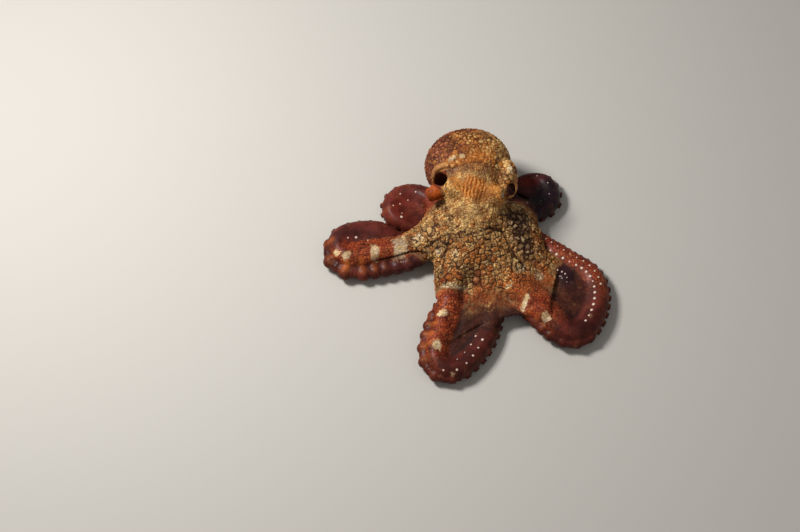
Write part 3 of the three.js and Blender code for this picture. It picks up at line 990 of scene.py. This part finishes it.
# For each point, the nearest place on an arm: which arm, how far along it, which way round, and
# how far from its middle line in radii
def armPlaces(points):
    names, samples = armSamples()
    tree = kdtree.KDTree(len(samples["s"]))
    for i, point in enumerate(samples["point"]):
        tree.insert(point, i)
    tree.balance()
    nearest = np.array([tree.find(point)[1] for point in points])
    spoke = points - samples["point"][nearest]
    up = (spoke * samples["back"][nearest]).sum(1)
    out = (spoke * samples["rim"][nearest]).sum(1)
    return {"names": names, "arm": samples["arm"][nearest], "s": samples["s"][nearest],
            "turn": np.degrees(np.arctan2(out, up)),
            "away": np.linalg.norm(spoke, axis=1) / samples["radius"][nearest]}


ribLook = {"fade": 12, "lobe": 0.6, "crest": (0.08, 0.36), "least": 0.15, "uneven": 0.3, "rhythm": 2.4,
           "turn": ((55, 85), (165, 179)), "away": (0.95, 1.4)}


# 1 on the crest of the rib over each sucker of the outer row, 0 between ribs
def ribShare(places):
    crest = np.zeros(len(places["s"]))
    away = places["away"].copy()
    fade = ribLook["fade"]
    for index, name in enumerate(places["names"]):
        here = places["arm"] == index
        stops, rows = suckerPlaces(arms[name])
        stops = stops[rows > 0]
        s = places["s"][here]
        spacing = np.interp(s, stops[:-1], np.diff(stops))
        gaps = np.abs(s[:, None] - stops[None, :])
        first, last, strength = armSkin[name]["ribs"]
        shown = band(s, (first - fade, first + fade), (last - fade, last + fade)) + ribLook["least"]
        away[here] -= ribLook["lobe"] * lobeReach(arms[name], s)
        bright = 1 - ribLook["uneven"] * (1 - np.cos(gaps.argmin(1) * ribLook["rhythm"]))
        crest[here] = (1 - ease(gaps.min(1) / spacing, *ribLook["crest"])) * shown * strength * bright
    return crest * band(places["turn"], *ribLook["turn"]) * (1 - ease(away, *ribLook["away"]))


# Shares of what changes along and round one arm, at points given by their places on it
def limbLook(name, s, turn, away):
    skin = armSkin[name]
    maroon = ease(s, *skin["maroon"])
    calm = ease(s, *litAgain["ends"]) * (name == litAgain["arm"])
    maroon *= 1 - litAgain["share"] * calm
    onLobe = np.clip(lobeReach(arms[name], s) / webEdge["lobe"], 0, 1) * ease(turn, *webEdge["turn"])
    web = ease(away, *webEdge["away"]) * (1 - onLobe)
    # Painted shade: the underside turns maroon, and violet-dark nearer the crown
    shadedBelow = ease(turn, *shadedUnderside["turn"]) * ease(s, skin["under"], skin["under"] + shadedUnderside["length"])
    maroon = np.maximum(maroon, shadedUnderside["maroon"] * shadedBelow)
    undersideShade = shadedUnderside["violet"] * shadedBelow * (1 - ease(s, *shadedUnderside["violetEnds"]))
    folded = np.zeros(len(s))
    if name == lowerCrease["arm"]:
        folded = 1 - ease(np.abs(turn - lowerCrease["turn"]), *lowerCrease["edges"])
        folded *= band(s, *lowerCrease["run"])
        folded *= 1 - ease(away, *lowerCrease["away"])
    if name in plainLoops["arms"]:
        web *= plainLoops["share"]
    if name == veiled["arm"]:
        under = ease(s, *veiled["ends"])
        web = np.maximum(web, under)
        maroon *= 1 - under
    return {"cobbled": (1 - ease(s, *skin["cobbles"])) * (1 - shadedBelow), "maroon": maroon,
            "violet": np.maximum(skin["violet"], undersideShade), "web": web, "folded": folded, "calm": calm}


def limbShares(places):
    shares = {key: np.zeros(len(places["s"]))
              for key in ("cobbled", "maroon", "violet", "web", "folded", "calm")}
    for index, name in enumerate(places["names"]):
        here = places["arm"] == index
        look = limbLook(name, *(places[key][here] for key in ("s", "turn", "away")))
        for key, values in look.items():
            shares[key][here] = values
    return shares


# Over what difference in distance, in millimetres, one region's skin gives way to the next
borders = {"mantle": (-1.5, 1.5), "mantleArms": (-2, 3), "mantleFront": (-1, 1), "mantleTop": (58, 68),
           "funnel": (-1, 1.5), "funnelReach": (1.5, 3), "lip": (0.8, 2.6), "head": (-6, 6), "limb": (0.5, 9),
           "webBehind": (14, 34), "webFront": (8, 44), "webBack": (1, 10), "webSeamShade": (-84, -70),
           "pocketShade": (0.4, 1.4), "patch": (6, 14), "underMantle": ((44, 54), (34, 42))}


# Shares of the mantle, the funnel, the head and the lips of the openings
def trunkMasks(reads, trunk, behind, onTop):
    mantle = 1 - ease(reads["mantle"] - np.minimum(trunk, reads["funnel"]), *borders["mantle"])
    mantle *= 1 - ease(reads["mantle"] - reads["arms"], *borders["mantleArms"])
    mantle = mantle * (1 - onTop) + ease(behind, *borders["mantleFront"]) * onTop
    nearFunnel = 1 - ease(reads["funnel"] - np.minimum(reads["mantle"], trunk), *borders["funnel"])
    masks = {"funnel": nearFunnel * (1 - ease(reads["funnel"], *borders["funnelReach"]))}
    masks["lip"] = (1 - ease(reads["lips"], *borders["lip"])) * (1 - masks["funnel"])
    masks["mantle"] = mantle * (1 - masks["funnel"])
    masks["head"] = (1 - ease(reads["head"] - reads["crown"], *borders["head"])) * (1 - masks["mantle"])
    return masks


# Share of the body's cobbled skin, which runs out over the roots of arms and webs
def bodyShare(points, trunk, limbs):
    onLimb = 1 - ease(trunk, *borders["limb"]) * (1 - limbs["cobbled"])
    behind = ease(points[:, 1], *borders["webBehind"])
    edges = zip(borders["webFront"], borders["webBack"])
    low, high = (front - (front - back) * behind for front, back in edges)
    onWeb = 1 - ease(trunk, low, high)
    return onLimb * (1 - limbs["web"]) + onWeb * limbs["web"]


def skinMasks(points, grid, fields):
    reads = {name: grid.read(field, points) for name, field in fields.items()}
    trunk = np.minimum(reads["crown"], reads["head"])
    behind = points[:, 1] - np.interp(points[:, 0], mantleEdge["x"], mantleEdge["y"])
    onTop = ease(points[:, 2], *borders["mantleTop"])
    masks = trunkMasks(reads, trunk, behind, onTop)
    places = armPlaces(points)
    limbs = limbShares(places)
    body = bodyShare(points, trunk, limbs)
    bare = 1 - body
    masks["body"] = body
    masks["cobble"] = body * (1 - masks["mantle"]) * (1 - masks["funnel"]) * (1 - 0.75 * masks["head"])
    masks["pebble"] = np.maximum(masks["mantle"] * (1 - masks["lip"]), 0.45 * masks["head"] * body)
    masks["net"] = (0.6 - limbs["maroon"] * 0.5 * bare) * (1 - masks["funnel"]) * (1 - 0.7 * limbs["calm"])
    masks["net"] += 1.3 * masks["cobble"] + 0.8 * masks["head"]
    # maroon and violet carry the arms' own colour and the painted shade of their undersides
    for key in ("maroon", "violet", "web"):
        masks[key] = limbs[key] * bare
    # Painted shade: a near-black line where the front arms give way to the web
    front = 1 - ease(points[:, 1], *borders["webSeamShade"])
    masks["webSeamShade"] = 4 * limbs["web"] * (1 - limbs["web"]) * front * bare
    masks["rib"] = ribShare(places) * bare
    masks["dome"] = domeShare(points) * masks["head"]
    masks["pebble"] *= 1 - 0.8 * masks["dome"]
    # Creases and furrows: carved a little into the relief and darkened with painted shade
    long = creaseShare(points, creases, creaseForm["halfWidth"]) * body
    long = long * (1 - masks["head"]) * (1 - masks["mantle"])
    deep = creaseShare(points, [furrow["line"]], furrow["halfWidth"]) * furrow["strength"]
    masks["creaseAndShade"] = np.maximum(np.maximum(long, limbs["folded"]), deep)
    masks["ridge"] = eyeRidges(points) * masks["head"]
    masks["ridge"] += onTop * mantleEdge["step"] * band(behind, *mantleEdge["stepAcross"])
    masks["ridge"] -= onTop * mantleEdge["groove"] * band(behind, *mantleEdge["grooveAcross"])
    masks["ridge"] -= masks["creaseAndShade"] * creaseForm["depth"]
    # Painted shade inside the openings, growing with depth
    masks["pocketShade"] = (1 - ease(reads["pockets"], *borders["pocketShade"])) * pocketDepth(points)
    for kind in patches:
        masks[kind] = patchShare(points, kind) * ease(points[:, 2], *borders["patch"])
    farBack, low = borders["underMantle"]
    underMantle = ease(points[:, 1], *farBack) * (1 - ease(points[:, 2], *low))
    for kind in ("cream", "pale"):
        masks[kind] *= 1 - underMantle
    masks["brow"] *= masks["head"]
    return masks


# 1 deep in either opening of the mantle, 0 at its mouth: the strength of the painted shade inside
def pocketDepth(points):
    x, y, z = points.T
    rises = [inLump(x, y, z, opening["pocket"])[2] for opening in openings.values()]
    nearer = np.where(x < 10, rises[0], rises[1])
    return 1 - ease(nearer, -1, 9)


# 1 on the smooth swelling under each eye
def domeShare(points):
    share = np.zeros(len(points))
    for side in sides:
        bulge = body[eyes[side]["bulge"]]
        spoke = (points - np.array(bulge["at"])) / np.array(bulge["radii"])
        reach = np.linalg.norm(spoke, axis=1)
        share = np.maximum(share, (1 - ease(reach, 1.0, 1.25)) * ease(points[:, 2], 70, 76))
    return share


ridgeForm = {"ring": ((6.6, 8.6), (10.5, 14.5)), "ahead": (-8, -2), "pitch": 2.4, "height": 0.16}


# Fine ridges of skin that ring each eye, in millimetres of height
def eyeRidges(points):
    height = np.zeros(len(points))
    for side in sides:
        centre, look, _, _ = eyeFrame(side)
        spoke = points - centre
        ahead = spoke @ look
        away = np.linalg.norm(spoke - ahead[:, None] * look, axis=1)
        window = band(away, *ridgeForm["ring"]) * ease(ahead, *ridgeForm["ahead"])
        height += window * np.cos(2 * math.pi * away / ridgeForm["pitch"]) * ridgeForm["height"]
    return height


def writeMasks(mesh, masks):
    for name, values in masks.items():
        attribute = mesh.attributes.get(name) or mesh.attributes.new(name, "FLOAT", "POINT")
        attribute.data.foreach_set("value", values.astype(np.float32))


# The object's mesh with its modifiers applied, which are then removed
def settled(thing):
    evaluated = thing.evaluated_get(bpy.context.evaluated_depsgraph_get())
    mesh = bpy.data.meshes.new_from_object(evaluated)
    thing.modifiers.clear()
    thing.data = mesh
    return mesh


tones = {
    "ochre": (0.42, 0.178, 0.046),
    "paleOchre": (0.70, 0.48, 0.21),
    "groove": (0.034, 0.009, 0.004),
    "warmGroove": (0.062, 0.010, 0.006),
    "orange": (0.46, 0.135, 0.026),
    "mantleOchre": (0.40, 0.150, 0.032),
    "mantlePale": (0.64, 0.42, 0.155),
    "mantleWarm": (0.42, 0.130, 0.022),
    "mantleGroove": (0.085, 0.022, 0.008),
    "mottleMaroon": (0.060, 0.012, 0.008),
    "mottleRed": (0.24, 0.056, 0.022),
    "brow": (0.34, 0.080, 0.012),
    "dome": (0.46, 0.15, 0.026),
    "browPale": (0.56, 0.24, 0.055),
    "funnel": (0.30, 0.055, 0.006),
    "lip": (0.42, 0.19, 0.065),
    # painted shade inside the openings
    "pocketShade": (0.11, 0.032, 0.020),
    "warm": (0.33, 0.052, 0.015),
    "red": (0.30, 0.045, 0.013),
    "redPale": (0.42, 0.10, 0.028),
    "redNet": (0.045, 0.007, 0.004),
    "maroon": (0.054, 0.009, 0.007),
    "maroonPale": (0.13, 0.022, 0.013),
    "rust": (0.20, 0.026, 0.014),
    "violet": (0.018, 0.008, 0.014),
    "webBrown": (0.044, 0.012, 0.007),
    "webRing": (0.13, 0.040, 0.018),
    # painted shade along the seam of arm and web
    "webSeamShade": (0.014, 0.005, 0.004),
    "shade": (0.060, 0.028, 0.016),
    "shadePale": (0.48, 0.33, 0.18),
    "rib": (0.44, 0.115, 0.020),
    "cream": (0.72, 0.58, 0.38),
    "pale": (0.76, 0.50, 0.20),
    # Painted shade: the first multiplier below darkens the colour over its patches
    "paintedShadeFactor": (0.64, 0.58, 0.58),  # this and those below multiply the colour
    "broadDark": (0.66, 0.60, 0.56),
    "broadLight": (1.28, 1.26, 1.16),
    "fineDark": (0.82, 0.82, 0.82),
    "fineLight": (1.1, 1.1, 1.1),
}
finish = {
    "roughness": (0.50, 0.66),
    "shine": 0.12,
    "coat": 0.06,
    "coatRoughness": 0.24,
    "mottleSize": 26.0,
    "fineSize": 1.6,
    "patchSize": 6.5,
    "broadSize": 15.0,
    "stripePitch": 4.6,
    "bumpHeight": 0.35,
    "bumpStrength": 0.6,
}


# Patterns that the skin's colours share: noises, and the cells of cobbles, pebbles and net
def skinPatterns(paint):
    place = paint.place()
    wander = wandering(paint, place)

    def noise(name, detail=2.0):
        return paint.noise(place, 1 / (finish[name] * mm), detail)

    def chance(name, channel):
        color = cells(paint, wander, cobbles[name], "F1", 1)
        return paint.add("ShaderNodeSeparateColor", {}, {"Color": color}, channel)

    return SimpleNamespace(
        wander=wander,
        mottle=noise("mottleSize", 3.0).between(0.35, 0.65),
        fine=noise("fineSize"),
        patchy=(noise("patchSize", 1.0) - 0.5) * 0.6,
        broad=noise("broadSize", 4.0).between(0.36, 0.62),
        bodyEdge=cells(paint, wander, cobbles["bodySize"]),
        bodyChance=chance("bodySize", 0),
        pebbleEdge=cells(paint, wander, cobbles["mantleSize"]),
        pebbleChance=chance("mantleSize", 1),
        netEdge=cells(paint, wander, cobbles["netSize"]),
        netChance=chance("netSize", 0),
    )


# Cobbles of the body: pale ring, ochre or orange middle, grey-brown in the shade, red in the warm
def bodyColor(paint, grain):
    mix, mask = paint.mix, paint.mask
    edge = grain.bodyEdge + (grain.fine - 0.5) * 0.2
    middle = mix(grain.bodyChance.between(0.35, 0.95), tones["ochre"], tones["orange"])
    ring = mix(grain.bodyChance.between(0.0, 0.8), tones["paleOchre"], tones["ochre"])
    color = mix(edge.between(0.14, 0.34), ring, middle)
    tips = 1 - cells(paint, grain.wander, cobbles["netSize"], "F1").between(0.08, 0.40)
    color = mix(tips * (grain.bodyChance * 0.7 + 0.15), color, tones["paleOchre"])
    shade = mix(edge.between(0.15, 0.36), tones["shade"], tones["shadePale"])
    color = mix((mask("shade") + (grain.bodyChance - 0.5) * 0.5).between(0.25, 0.75), color, shade)
    color = mix(grain.mottle * 0.3, color, tones["ochre"])
    warmth = (mask("warm") + (grain.bodyChance - 0.5) * 0.5 + (grain.mottle - 0.5) * 0.3).between(0.2, 0.9)
    warm = mix(grain.bodyEdge.between(0.15, 0.35), tones["orange"], tones["warm"])
    return mix(warmth * 0.95, color, warm)


# Smaller cobbles of the mantle, with its maroon mottling
def mantleColor(paint, grain):
    mix, mask = paint.mix, paint.mask
    edge = grain.pebbleEdge + (grain.fine - 0.5) * 0.1
    high = mix(grain.pebbleChance.between(0.15, 0.8), tones["mantleOchre"], tones["mantlePale"])
    color = mix(edge.between(0.08, 0.30), tones["mantleOchre"], high)
    color = mix((edge + grain.patchy * 0.7).between(0.01, 0.20), tones["mantleGroove"], color)
    color = mix(mask("mantleWarm") * 0.6, color, tones["mantleWarm"])
    pebbles = (grain.pebbleEdge + (grain.pebbleChance - 0.5) * 0.25).between(0.08, 0.36)
    mottling = mix(pebbles, tones["mottleMaroon"], tones["mottleRed"])
    mottled = mask("mottle") + (grain.pebbleChance - 0.5) * 0.7 + (grain.mottle - 0.5) * 0.4
    return mix(mottled.between(0.3, 0.75) * 0.9, color, mottling)


# Crumbled skin of the head, stripes on the brow between the eyes and smooth domes under them
def headColor(paint, grain, body, mantle):
    mix, mask = paint.mix, paint.mask
    crumbs = cells(paint, grain.wander, cobbles["netSize"] * 0.7)
    color = mix(0.5, mantle, body)
    color = mix((crumbs + grain.patchy * 0.5).between(0.10, 0.34) * 0.75, color, tones["mantlePale"])
    color = mix((1 - crumbs.between(0.0, 0.14)) * 0.6, color, tones["mottleRed"])
    x, y = (paint.add("ShaderNodeSeparateXYZ", {}, {"Vector": grain.wander}, axis) for axis in (0, 1))
    stripes = ((x - y * 0.22) * (2 * math.pi / (finish["stripePitch"] * mm))).wave()
    stripes = (stripes + (grain.fine - 0.5) * 2.2 + grain.patchy).between(-0.5, 0.7)
    color = mix(mask("brow").between(0.3, 1.0), color, mix(stripes, tones["brow"], tones["browPale"]))
    dome = mix(grain.fine.between(0.3, 0.7), tones["dome"], tones["browPale"])
    color = mix(mask("dome") * 0.9, color, dome)
    return mix(mask("ridge").between(0.05, 0.3) * 0.45, color, tones["mantlePale"])


# Limbs: a red net, then smooth maroon, brown webs and orange ribs over the suckers, with painted shade on the
# undersides and along the seam of arm and web at the front
def limbColor(paint, grain):
    mix, mask = paint.mix, paint.mask
    net = grain.netEdge.between(0.0, 0.16)
    red = mix((grain.netChance * 0.6 + grain.mottle * 0.4).between(0.3, 0.9), tones["red"], tones["redPale"])
    red = mix(net, tones["redNet"], red)
    clouded = grain.mottle * 0.6 + grain.netEdge.between(0.0, 0.4) * 0.3
    maroon = mix(clouded, tones["maroon"], tones["maroonPale"])
    maroon = mix(mask("violet"), maroon, tones["violet"])
    color = mix(mask("maroon"), red, maroon)
    cell = cells(paint, grain.wander, cobbles["bodySize"] * 0.8, "F1")
    rings = cell.between(0.25, 0.38) * (1 - cell.between(0.38, 0.5))
    web = mix(rings * 0.45, tones["webBrown"], tones["webRing"])
    web = mix((1 - net) * 0.6, web, tones["redNet"])
    color = mix(mask("web"), color, web)
    color = mix(mask("rust") * 0.8, color, tones["rust"])
    # Painted shade along the seam between the front arms and the web
    color = mix(mask("webSeamShade") * 0.8, color, tones["webSeamShade"])
    return mix(mask("rib") * (1 - mask("maroon") * 0.2), color, tones["rib"])


# Pale crumbs, the funnel, the lips of the openings with painted shade deep inside them, and cream patches
# laid over the regions' colours
def markedColor(paint, grain, color):
    mix, mask = paint.mix, paint.mask
    pale = (mask("pale") + (grain.pebbleChance - 0.5) * 0.8).between(0.30, 0.85)
    color = mix(pale * grain.netEdge.between(0.02, 0.14) * 0.8, color, tones["pale"])
    color = mix(mask("lip") * 0.9, color, tones["lip"])
    color = mix(mask("funnel"), color, tones["funnel"])
    # Painted shade inside the mantle's openings, darker deeper in
    color = mix(mask("pocketShade"), color, tones["pocketShade"])
    cream = mask("cream") + ((grain.bodyChance - 0.5) * 0.35 + (grain.netChance - 0.5) * 0.25)
    cream = cream.between(0.38, 0.70)
    creamTone = mix(grain.netChance.between(0.2, 0.9) * 0.7, tones["cream"], tones["paleOchre"])
    return mix(cream * (grain.netEdge.between(0.0, 0.16) * 0.4 + 0.55), color, creamTone)


# Dark grooves between the cobbles, painted shade in the creases and over the dimmed patches, and the broad
# and fine unevenness over everything
def groovedColor(paint, grain, color):
    mix, mask = paint.mix, paint.mask
    ground = (grain.bodyEdge + (grain.fine - 0.5) * 0.1 + grain.patchy).between(-0.02, 0.17)
    deep = mix(mask("warm").between(0.2, 0.9), tones["groove"], tones["warmGroove"])
    color = mix(mask("cobble") * (1 - ground) * 0.95, color, deep)
    crackle = (1 - (grain.netEdge - grain.patchy).between(0.0, 0.14)) * mask("cobble") * 0.6
    color = mix(crackle, color, tones["groove"])
    # Painted shade in the creases and the furrow
    color = mix(mask("creaseAndShade") * 0.85, color, tones["groove"])
    # Painted shade multiplied over its patches on the arms
    color = mix(mask("paintedShade"), color, tones["paintedShadeFactor"], "MULTIPLY")
    color = mix(1.0, color, mix(grain.broad, tones["broadDark"], tones["broadLight"]), "MULTIPLY")
    speckle = mix(grain.fine.between(0.25, 0.75), tones["fineDark"], tones["fineLight"])
    return mix(1.0, color, speckle, "MULTIPLY")


def skinMaterial():
    paint = Paint("octopusSkin")
    mix, mask = paint.mix, paint.mask
    grain = skinPatterns(paint)
    body, mantle = bodyColor(paint, grain), mantleColor(paint, grain)
    trunk = mix(mask("head"), body, headColor(paint, grain, body, mantle))
    color = mix(mask("mantle"), mix(mask("body"), limbColor(paint, grain), trunk), mantle)
    color = groovedColor(paint, grain, markedColor(paint, grain, color))
    low, high = finish["roughness"]
    height = grain.fine * 0.5 + grain.netEdge.between(0.0, 0.2) * (mask("net") + 0.25)
    bump = {"Height": height, "Distance": finish["bumpHeight"] * mm, "Strength": finish["bumpStrength"]}
    return paint.finished({
        "Base Color": color,
        "Roughness": grain.mottle * (high - low) + low,
        "Coat Weight": (1 - mask("body")) * (1 - mask("mantle")) * finish["coat"],
        "Coat Roughness": finish["coatRoughness"],
        "Specular IOR Level": finish["shine"],
        "Normal": paint.add("ShaderNodeBump", {}, bump),
    })


skinTriangles = 196000


def buildSkin():
    grid, fields = buildFields()
    whole = joinFields(fields, grid.axes[2].reshape(1, 1, -1))
    skin = linked("skin", meshFromField("skin", grid, whole))
    print("skin meshed:", len(skin.data.polygons), "quads")
    writeMasks(skin.data, skinMasks(layoutPoints(skin.data), grid, fields))
    heights = {"Body height": "bodyHeight", "Mantle height": "mantleHeight", "Net height": "netHeight"}
    addTree(skin, *reliefTree(), {title: cobbles[key] * mm for title, key in heights.items()})
    thin = skin.modifiers.new("thin", "DECIMATE")
    thin.ratio = min(1.0, skinTriangles / (2 * len(skin.data.polygons)))
    mesh = settled(skin)
    points = layoutPoints(mesh)
    points[:, 2] = np.maximum(points[:, 2], skinFloor)
    placeVertices(mesh, points)
    writeMasks(mesh, skinMasks(points, grid, fields))
    mesh.shade_smooth()
    mesh.materials.append(skinMaterial())
    print("skin finished:", len(mesh.polygons), "faces")
    return skin


# A round shape about +Z from a profile of (radius, height), with the place along it as "level"
def turnedShape(name, profile, sides):
    points = []
    levels = []
    for i, (radius, height) in enumerate(profile):
        for k in range(sides):
            turn = 2 * math.pi * k / sides
            points.append((radius * math.cos(turn), radius * math.sin(turn), height))
            levels.append(i / (len(profile) - 1))
    faces = []
    for i in range(len(profile) - 1):
        for k in range(sides):
            a, b = i * sides + k, i * sides + (k + 1) % sides
            faces.append((a, b, b + sides, a + sides))
    faces.append([(len(profile) - 1) * sides + k for k in range(sides)])
    faces.append(list(reversed(range(sides))))
    mesh = bpy.data.meshes.new(name)
    mesh.from_pydata(points, [], faces)
    mesh.shade_smooth()
    writeMasks(mesh, {"level": np.array(levels)})
    return mesh


# Points that carry a direction and a width, each to receive one copy of a shape
def scatterTree(name, material):
    nodes, given, identifiers = newTree(name, {
        "Shape": "Object", "Scale": "Float", "Size spread": "Float", "Seed": "Int"})
    aim = nodes.add("GeometryNodeInputNamedAttribute", {"data_type": "FLOAT_VECTOR"}, {"Name": "aim"})
    width = nodes.add("GeometryNodeInputNamedAttribute", {"data_type": "FLOAT"}, {"Name": "width"})
    turned = nodes.add("FunctionNodeAlignRotationToVector", {"axis": "Z"}, {"Vector": aim})
    limits = {2: -1.0, 3: 1.0, "Seed": given["Seed"]}
    chance = nodes.add("FunctionNodeRandomValue", {"data_type": "FLOAT"}, limits, 1)
    size = width * given["Scale"] * (chance * given["Size spread"] + 1.0)
    shape = nodes.add("GeometryNodeObjectInfo", {}, {"Object": given["Shape"]}, 4)
    copies = nodes.add("GeometryNodeInstanceOnPoints", {}, {
        "Points": given["Geometry"], "Instance": shape, "Rotation": turned, "Scale": size})
    solid = nodes.add("GeometryNodeRealizeInstances", {}, {"Geometry": copies})
    endTree(nodes, nodes.add("GeometryNodeSetMaterial", {}, {"Geometry": solid, "Material": material}))
    return nodes, identifiers


def scattered(name, spots, shapeMesh, material, spread, seed):
    mesh = bpy.data.meshes.new(name)
    mesh.from_pydata([tuple(inModel(spot["at"])) for spot in spots], [], [])
    aims = mesh.attributes.new("aim", "FLOAT_VECTOR", "POINT")
    aims.data.foreach_set("vector", np.array([spot["aim"] for spot in spots], np.float32).ravel())
    writeMasks(mesh, {"width": np.array([spot["width"] for spot in spots]) * mm})
    thing = linked(name, mesh)
    shape = linked(name + "Shape", shapeMesh)
    inputs = {"Shape": shape, "Scale": 1.0, "Size spread": spread, "Seed": seed}
    addTree(thing, *scatterTree(name, material), inputs)
    settled(thing)
    bpy.data.objects.remove(shape)
    print(name + ":", len(spots), "copies,", len(thing.data.polygons), "faces")
    return thing


suckerTones = {"wall": (0.28, 0.060, 0.018), "rim": (0.045, 0.010, 0.008), "cup": (0.30, 0.13, 0.10)}
suckerProfile = [(0.36, -0.30), (0.40, -0.05), (0.50, 0.08), (0.46, 0.17), (0.30, 0.10), (0.13, -0.06)]
suckerCopy = {"sides": 10, "spread": 0.06, "seed": 5, "grain": 420.0, "leastHeight": 0.2, "floorHeight": 0.17}


def suckerMaterial():
    paint = Paint("suckerSkin")
    level = paint.mask("level")
    grain = paint.noise(paint.place(), suckerCopy["grain"], 2.0)
    color = paint.mix(level.between(0.15, 0.45), suckerTones["wall"], suckerTones["rim"])
    color = paint.mix((level + (grain - 0.5) * 0.2).between(0.62, 0.80), color, suckerTones["cup"])
    return paint.finished({"Base Color": color, "Roughness": grain * 0.3 + 0.25,
                           "Specular IOR Level": finish["shine"], "Coat Weight": finish["coat"]})


def suckerSpots():
    spots = []
    for arm in arms.values():
        for s, row in zip(*suckerPlaces(arm)):
            line = armLine(arm, s)
            radius = float(line["radius"])
            aim = underAim(line, suckerForm["row"], row)
            width = max(suckerForm["leastWidth"], suckerForm["width"] * radius)
            at = line["point"] + aim * radius * suckerForm["reach"]
            if at[2] < suckerCopy["leastHeight"] * width:  # it stands flat on the floor
                aim = np.array([0, 0, -1.0])
                at[2] = suckerCopy["floorHeight"] * width
            spots.append({"at": at, "aim": aim, "width": width})
    return spots


def buildSuckers():
    shape = turnedShape("suckerShape", suckerProfile, suckerCopy["sides"])
    thing = scattered("suckers", suckerSpots(), shape, suckerMaterial(), suckerCopy["spread"],
                      suckerCopy["seed"])
    points = layoutPoints(thing.data)
    points[:, 2] = np.maximum(points[:, 2], 0)
    placeVertices(thing.data, points)
    return thing


# Rows of pale spots: their ends and pitch along the arm, how far round from the back of the arm
# they start and end in degrees, and the spots' width
spotRows = [
    {"arm": arm, "from": first, "to": last, "pitch": pitch, "turns": turns, "width": width}
    for arm, first, last, pitch, turns, width in [
        ("left_1", 178, 344, 9.2, (34, -2), 3.4),
        ("left_1", 236, 344, 9.6, (60, 50), 2.8),
        ("right_1", 172, 246, 12.5, (84, 34), 3.0),
        ("right_1", 192, 244, 15.0, (10, -10), 2.2),
        ("right_2", 182, 240, 17.0, (12, -24), 2.6),
        ("right_3", 96, 170, 24.0, (28, 30), 3.4),
        ("right_3", 110, 180, 27.0, (-14, 5), 2.4),
        ("left_2", 97, 121, 5.2, (34, 66), 1.9),
        ("left_2", 99, 118, 5.2, (4, 30), 1.8),
        ("left_3", 70, 150, 19.0, (30, 50), 1.6),
    ]
]
spotProfile = [(0.5, -0.14), (0.47, 0.01), (0.36, 0.10), (0.16, 0.15)]
spotTones = {"edge": (0.20, 0.05, 0.028), "top": (0.66, 0.50, 0.39)}
spotCopy = {"sides": 8, "spread": 0.38, "seed": 11, "grain": 600.0}


def spotMaterial():
    paint = Paint("paleSpot")
    grain = paint.noise(paint.place(), spotCopy["grain"], 1.0)
    share = (paint.mask("level") + (grain - 0.5) * 0.3).between(0.15, 0.6)
    return paint.finished({"Base Color": paint.mix(share, spotTones["edge"], spotTones["top"]),
                           "Roughness": grain * 0.2 + 0.25})


def buildSpots(skin):
    surface = bvhtree.BVHTree.FromObject(skin, bpy.context.evaluated_depsgraph_get())
    spots = []
    for row in spotRows:
        arm = arms[row["arm"]]
        for s in np.arange(row["from"], row["to"], row["pitch"]):
            t = (s - row["from"]) / (row["to"] - row["from"])
            turn = math.radians(row["turns"][0] * (1 - t) + row["turns"][1] * t)
            line = armLine(arm, s)
            aim = line["back"] * math.cos(turn) + line["rim"] * math.sin(turn)
            start = Vector(inModel(line["point"] + 3 * float(line["radius"]) * aim))
            hit, normal, _, _ = surface.ray_cast(start, Vector(-aim))
            if hit is not None:
                spots.append({"at": np.array(hit) / mm - layoutShift, "aim": np.array(normal),
                              "width": row["width"]})
    shape = turnedShape("spotShape", spotProfile, spotCopy["sides"])
    return scattered("paleSpots", spots, shape, spotMaterial(), spotCopy["spread"], spotCopy["seed"])


eyeForm = {"sides": 40, "rings": 24, "inset": 0.15, "pupil": (0.56, 0.13), "grain": 900.0}
eyeTones = {"iris": (0.66, 0.36, 0.08), "irisDark": (0.30, 0.11, 0.025), "pupil": (0.006, 0.005, 0.005)}
eyeGloss = {"Roughness": 0.12, "Coat Weight": 1.0, "Coat Roughness": 0.03}


def eyeMaterial():
    paint = Paint("eyeball")
    grain = paint.noise(paint.place(), eyeForm["grain"], 3.0)
    across, rise = (paint.mask(name) / half for name, half in zip(("across", "rise"), eyeForm["pupil"]))
    slit = (across ** 4 + rise * rise).between(0.8, 1.2)
    iris = paint.mix(grain.between(0.35, 0.65), eyeTones["irisDark"], eyeTones["iris"])
    return paint.finished({"Base Color": paint.mix(slit, eyeTones["pupil"], iris), **eyeGloss})


def buildEye(side, material):
    centre, look, level, upward = eyeFrame(side)
    ball = bmesh.new()
    bmesh.ops.create_uvsphere(ball, u_segments=eyeForm["sides"], v_segments=eyeForm["rings"], radius=1.0)
    mesh = bpy.data.meshes.new("eyeball_" + side)
    ball.to_mesh(mesh)
    ball.free()
    unitPoints = np.array([tuple(v.co) for v in mesh.vertices])
    radius = eyes["radius"] - eyeForm["inset"]
    placeVertices(mesh, centre + radius * (unitPoints @ np.array([level, upward, look])))
    writeMasks(mesh, {"across": unitPoints[:, 0], "rise": unitPoints[:, 1]})
    mesh.shade_smooth()
    mesh.materials.append(material)
    return linked("eyeball_" + side, mesh)


skin = buildSkin()
fleshNodes = [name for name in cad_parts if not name.startswith("eye_")]
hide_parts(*fleshNodes)
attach(skin, "root")

suckers = buildSuckers()
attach(suckers, "root")

paleSpots = buildSpots(skin)
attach(paleSpots, "root")

eyeSkin = eyeMaterial()
for side in sides:
    eyeball = buildEye(side, eyeSkin)
    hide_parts("eye_" + side)
    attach(eyeball, "root")
print("eyes, suckers and spots placed")
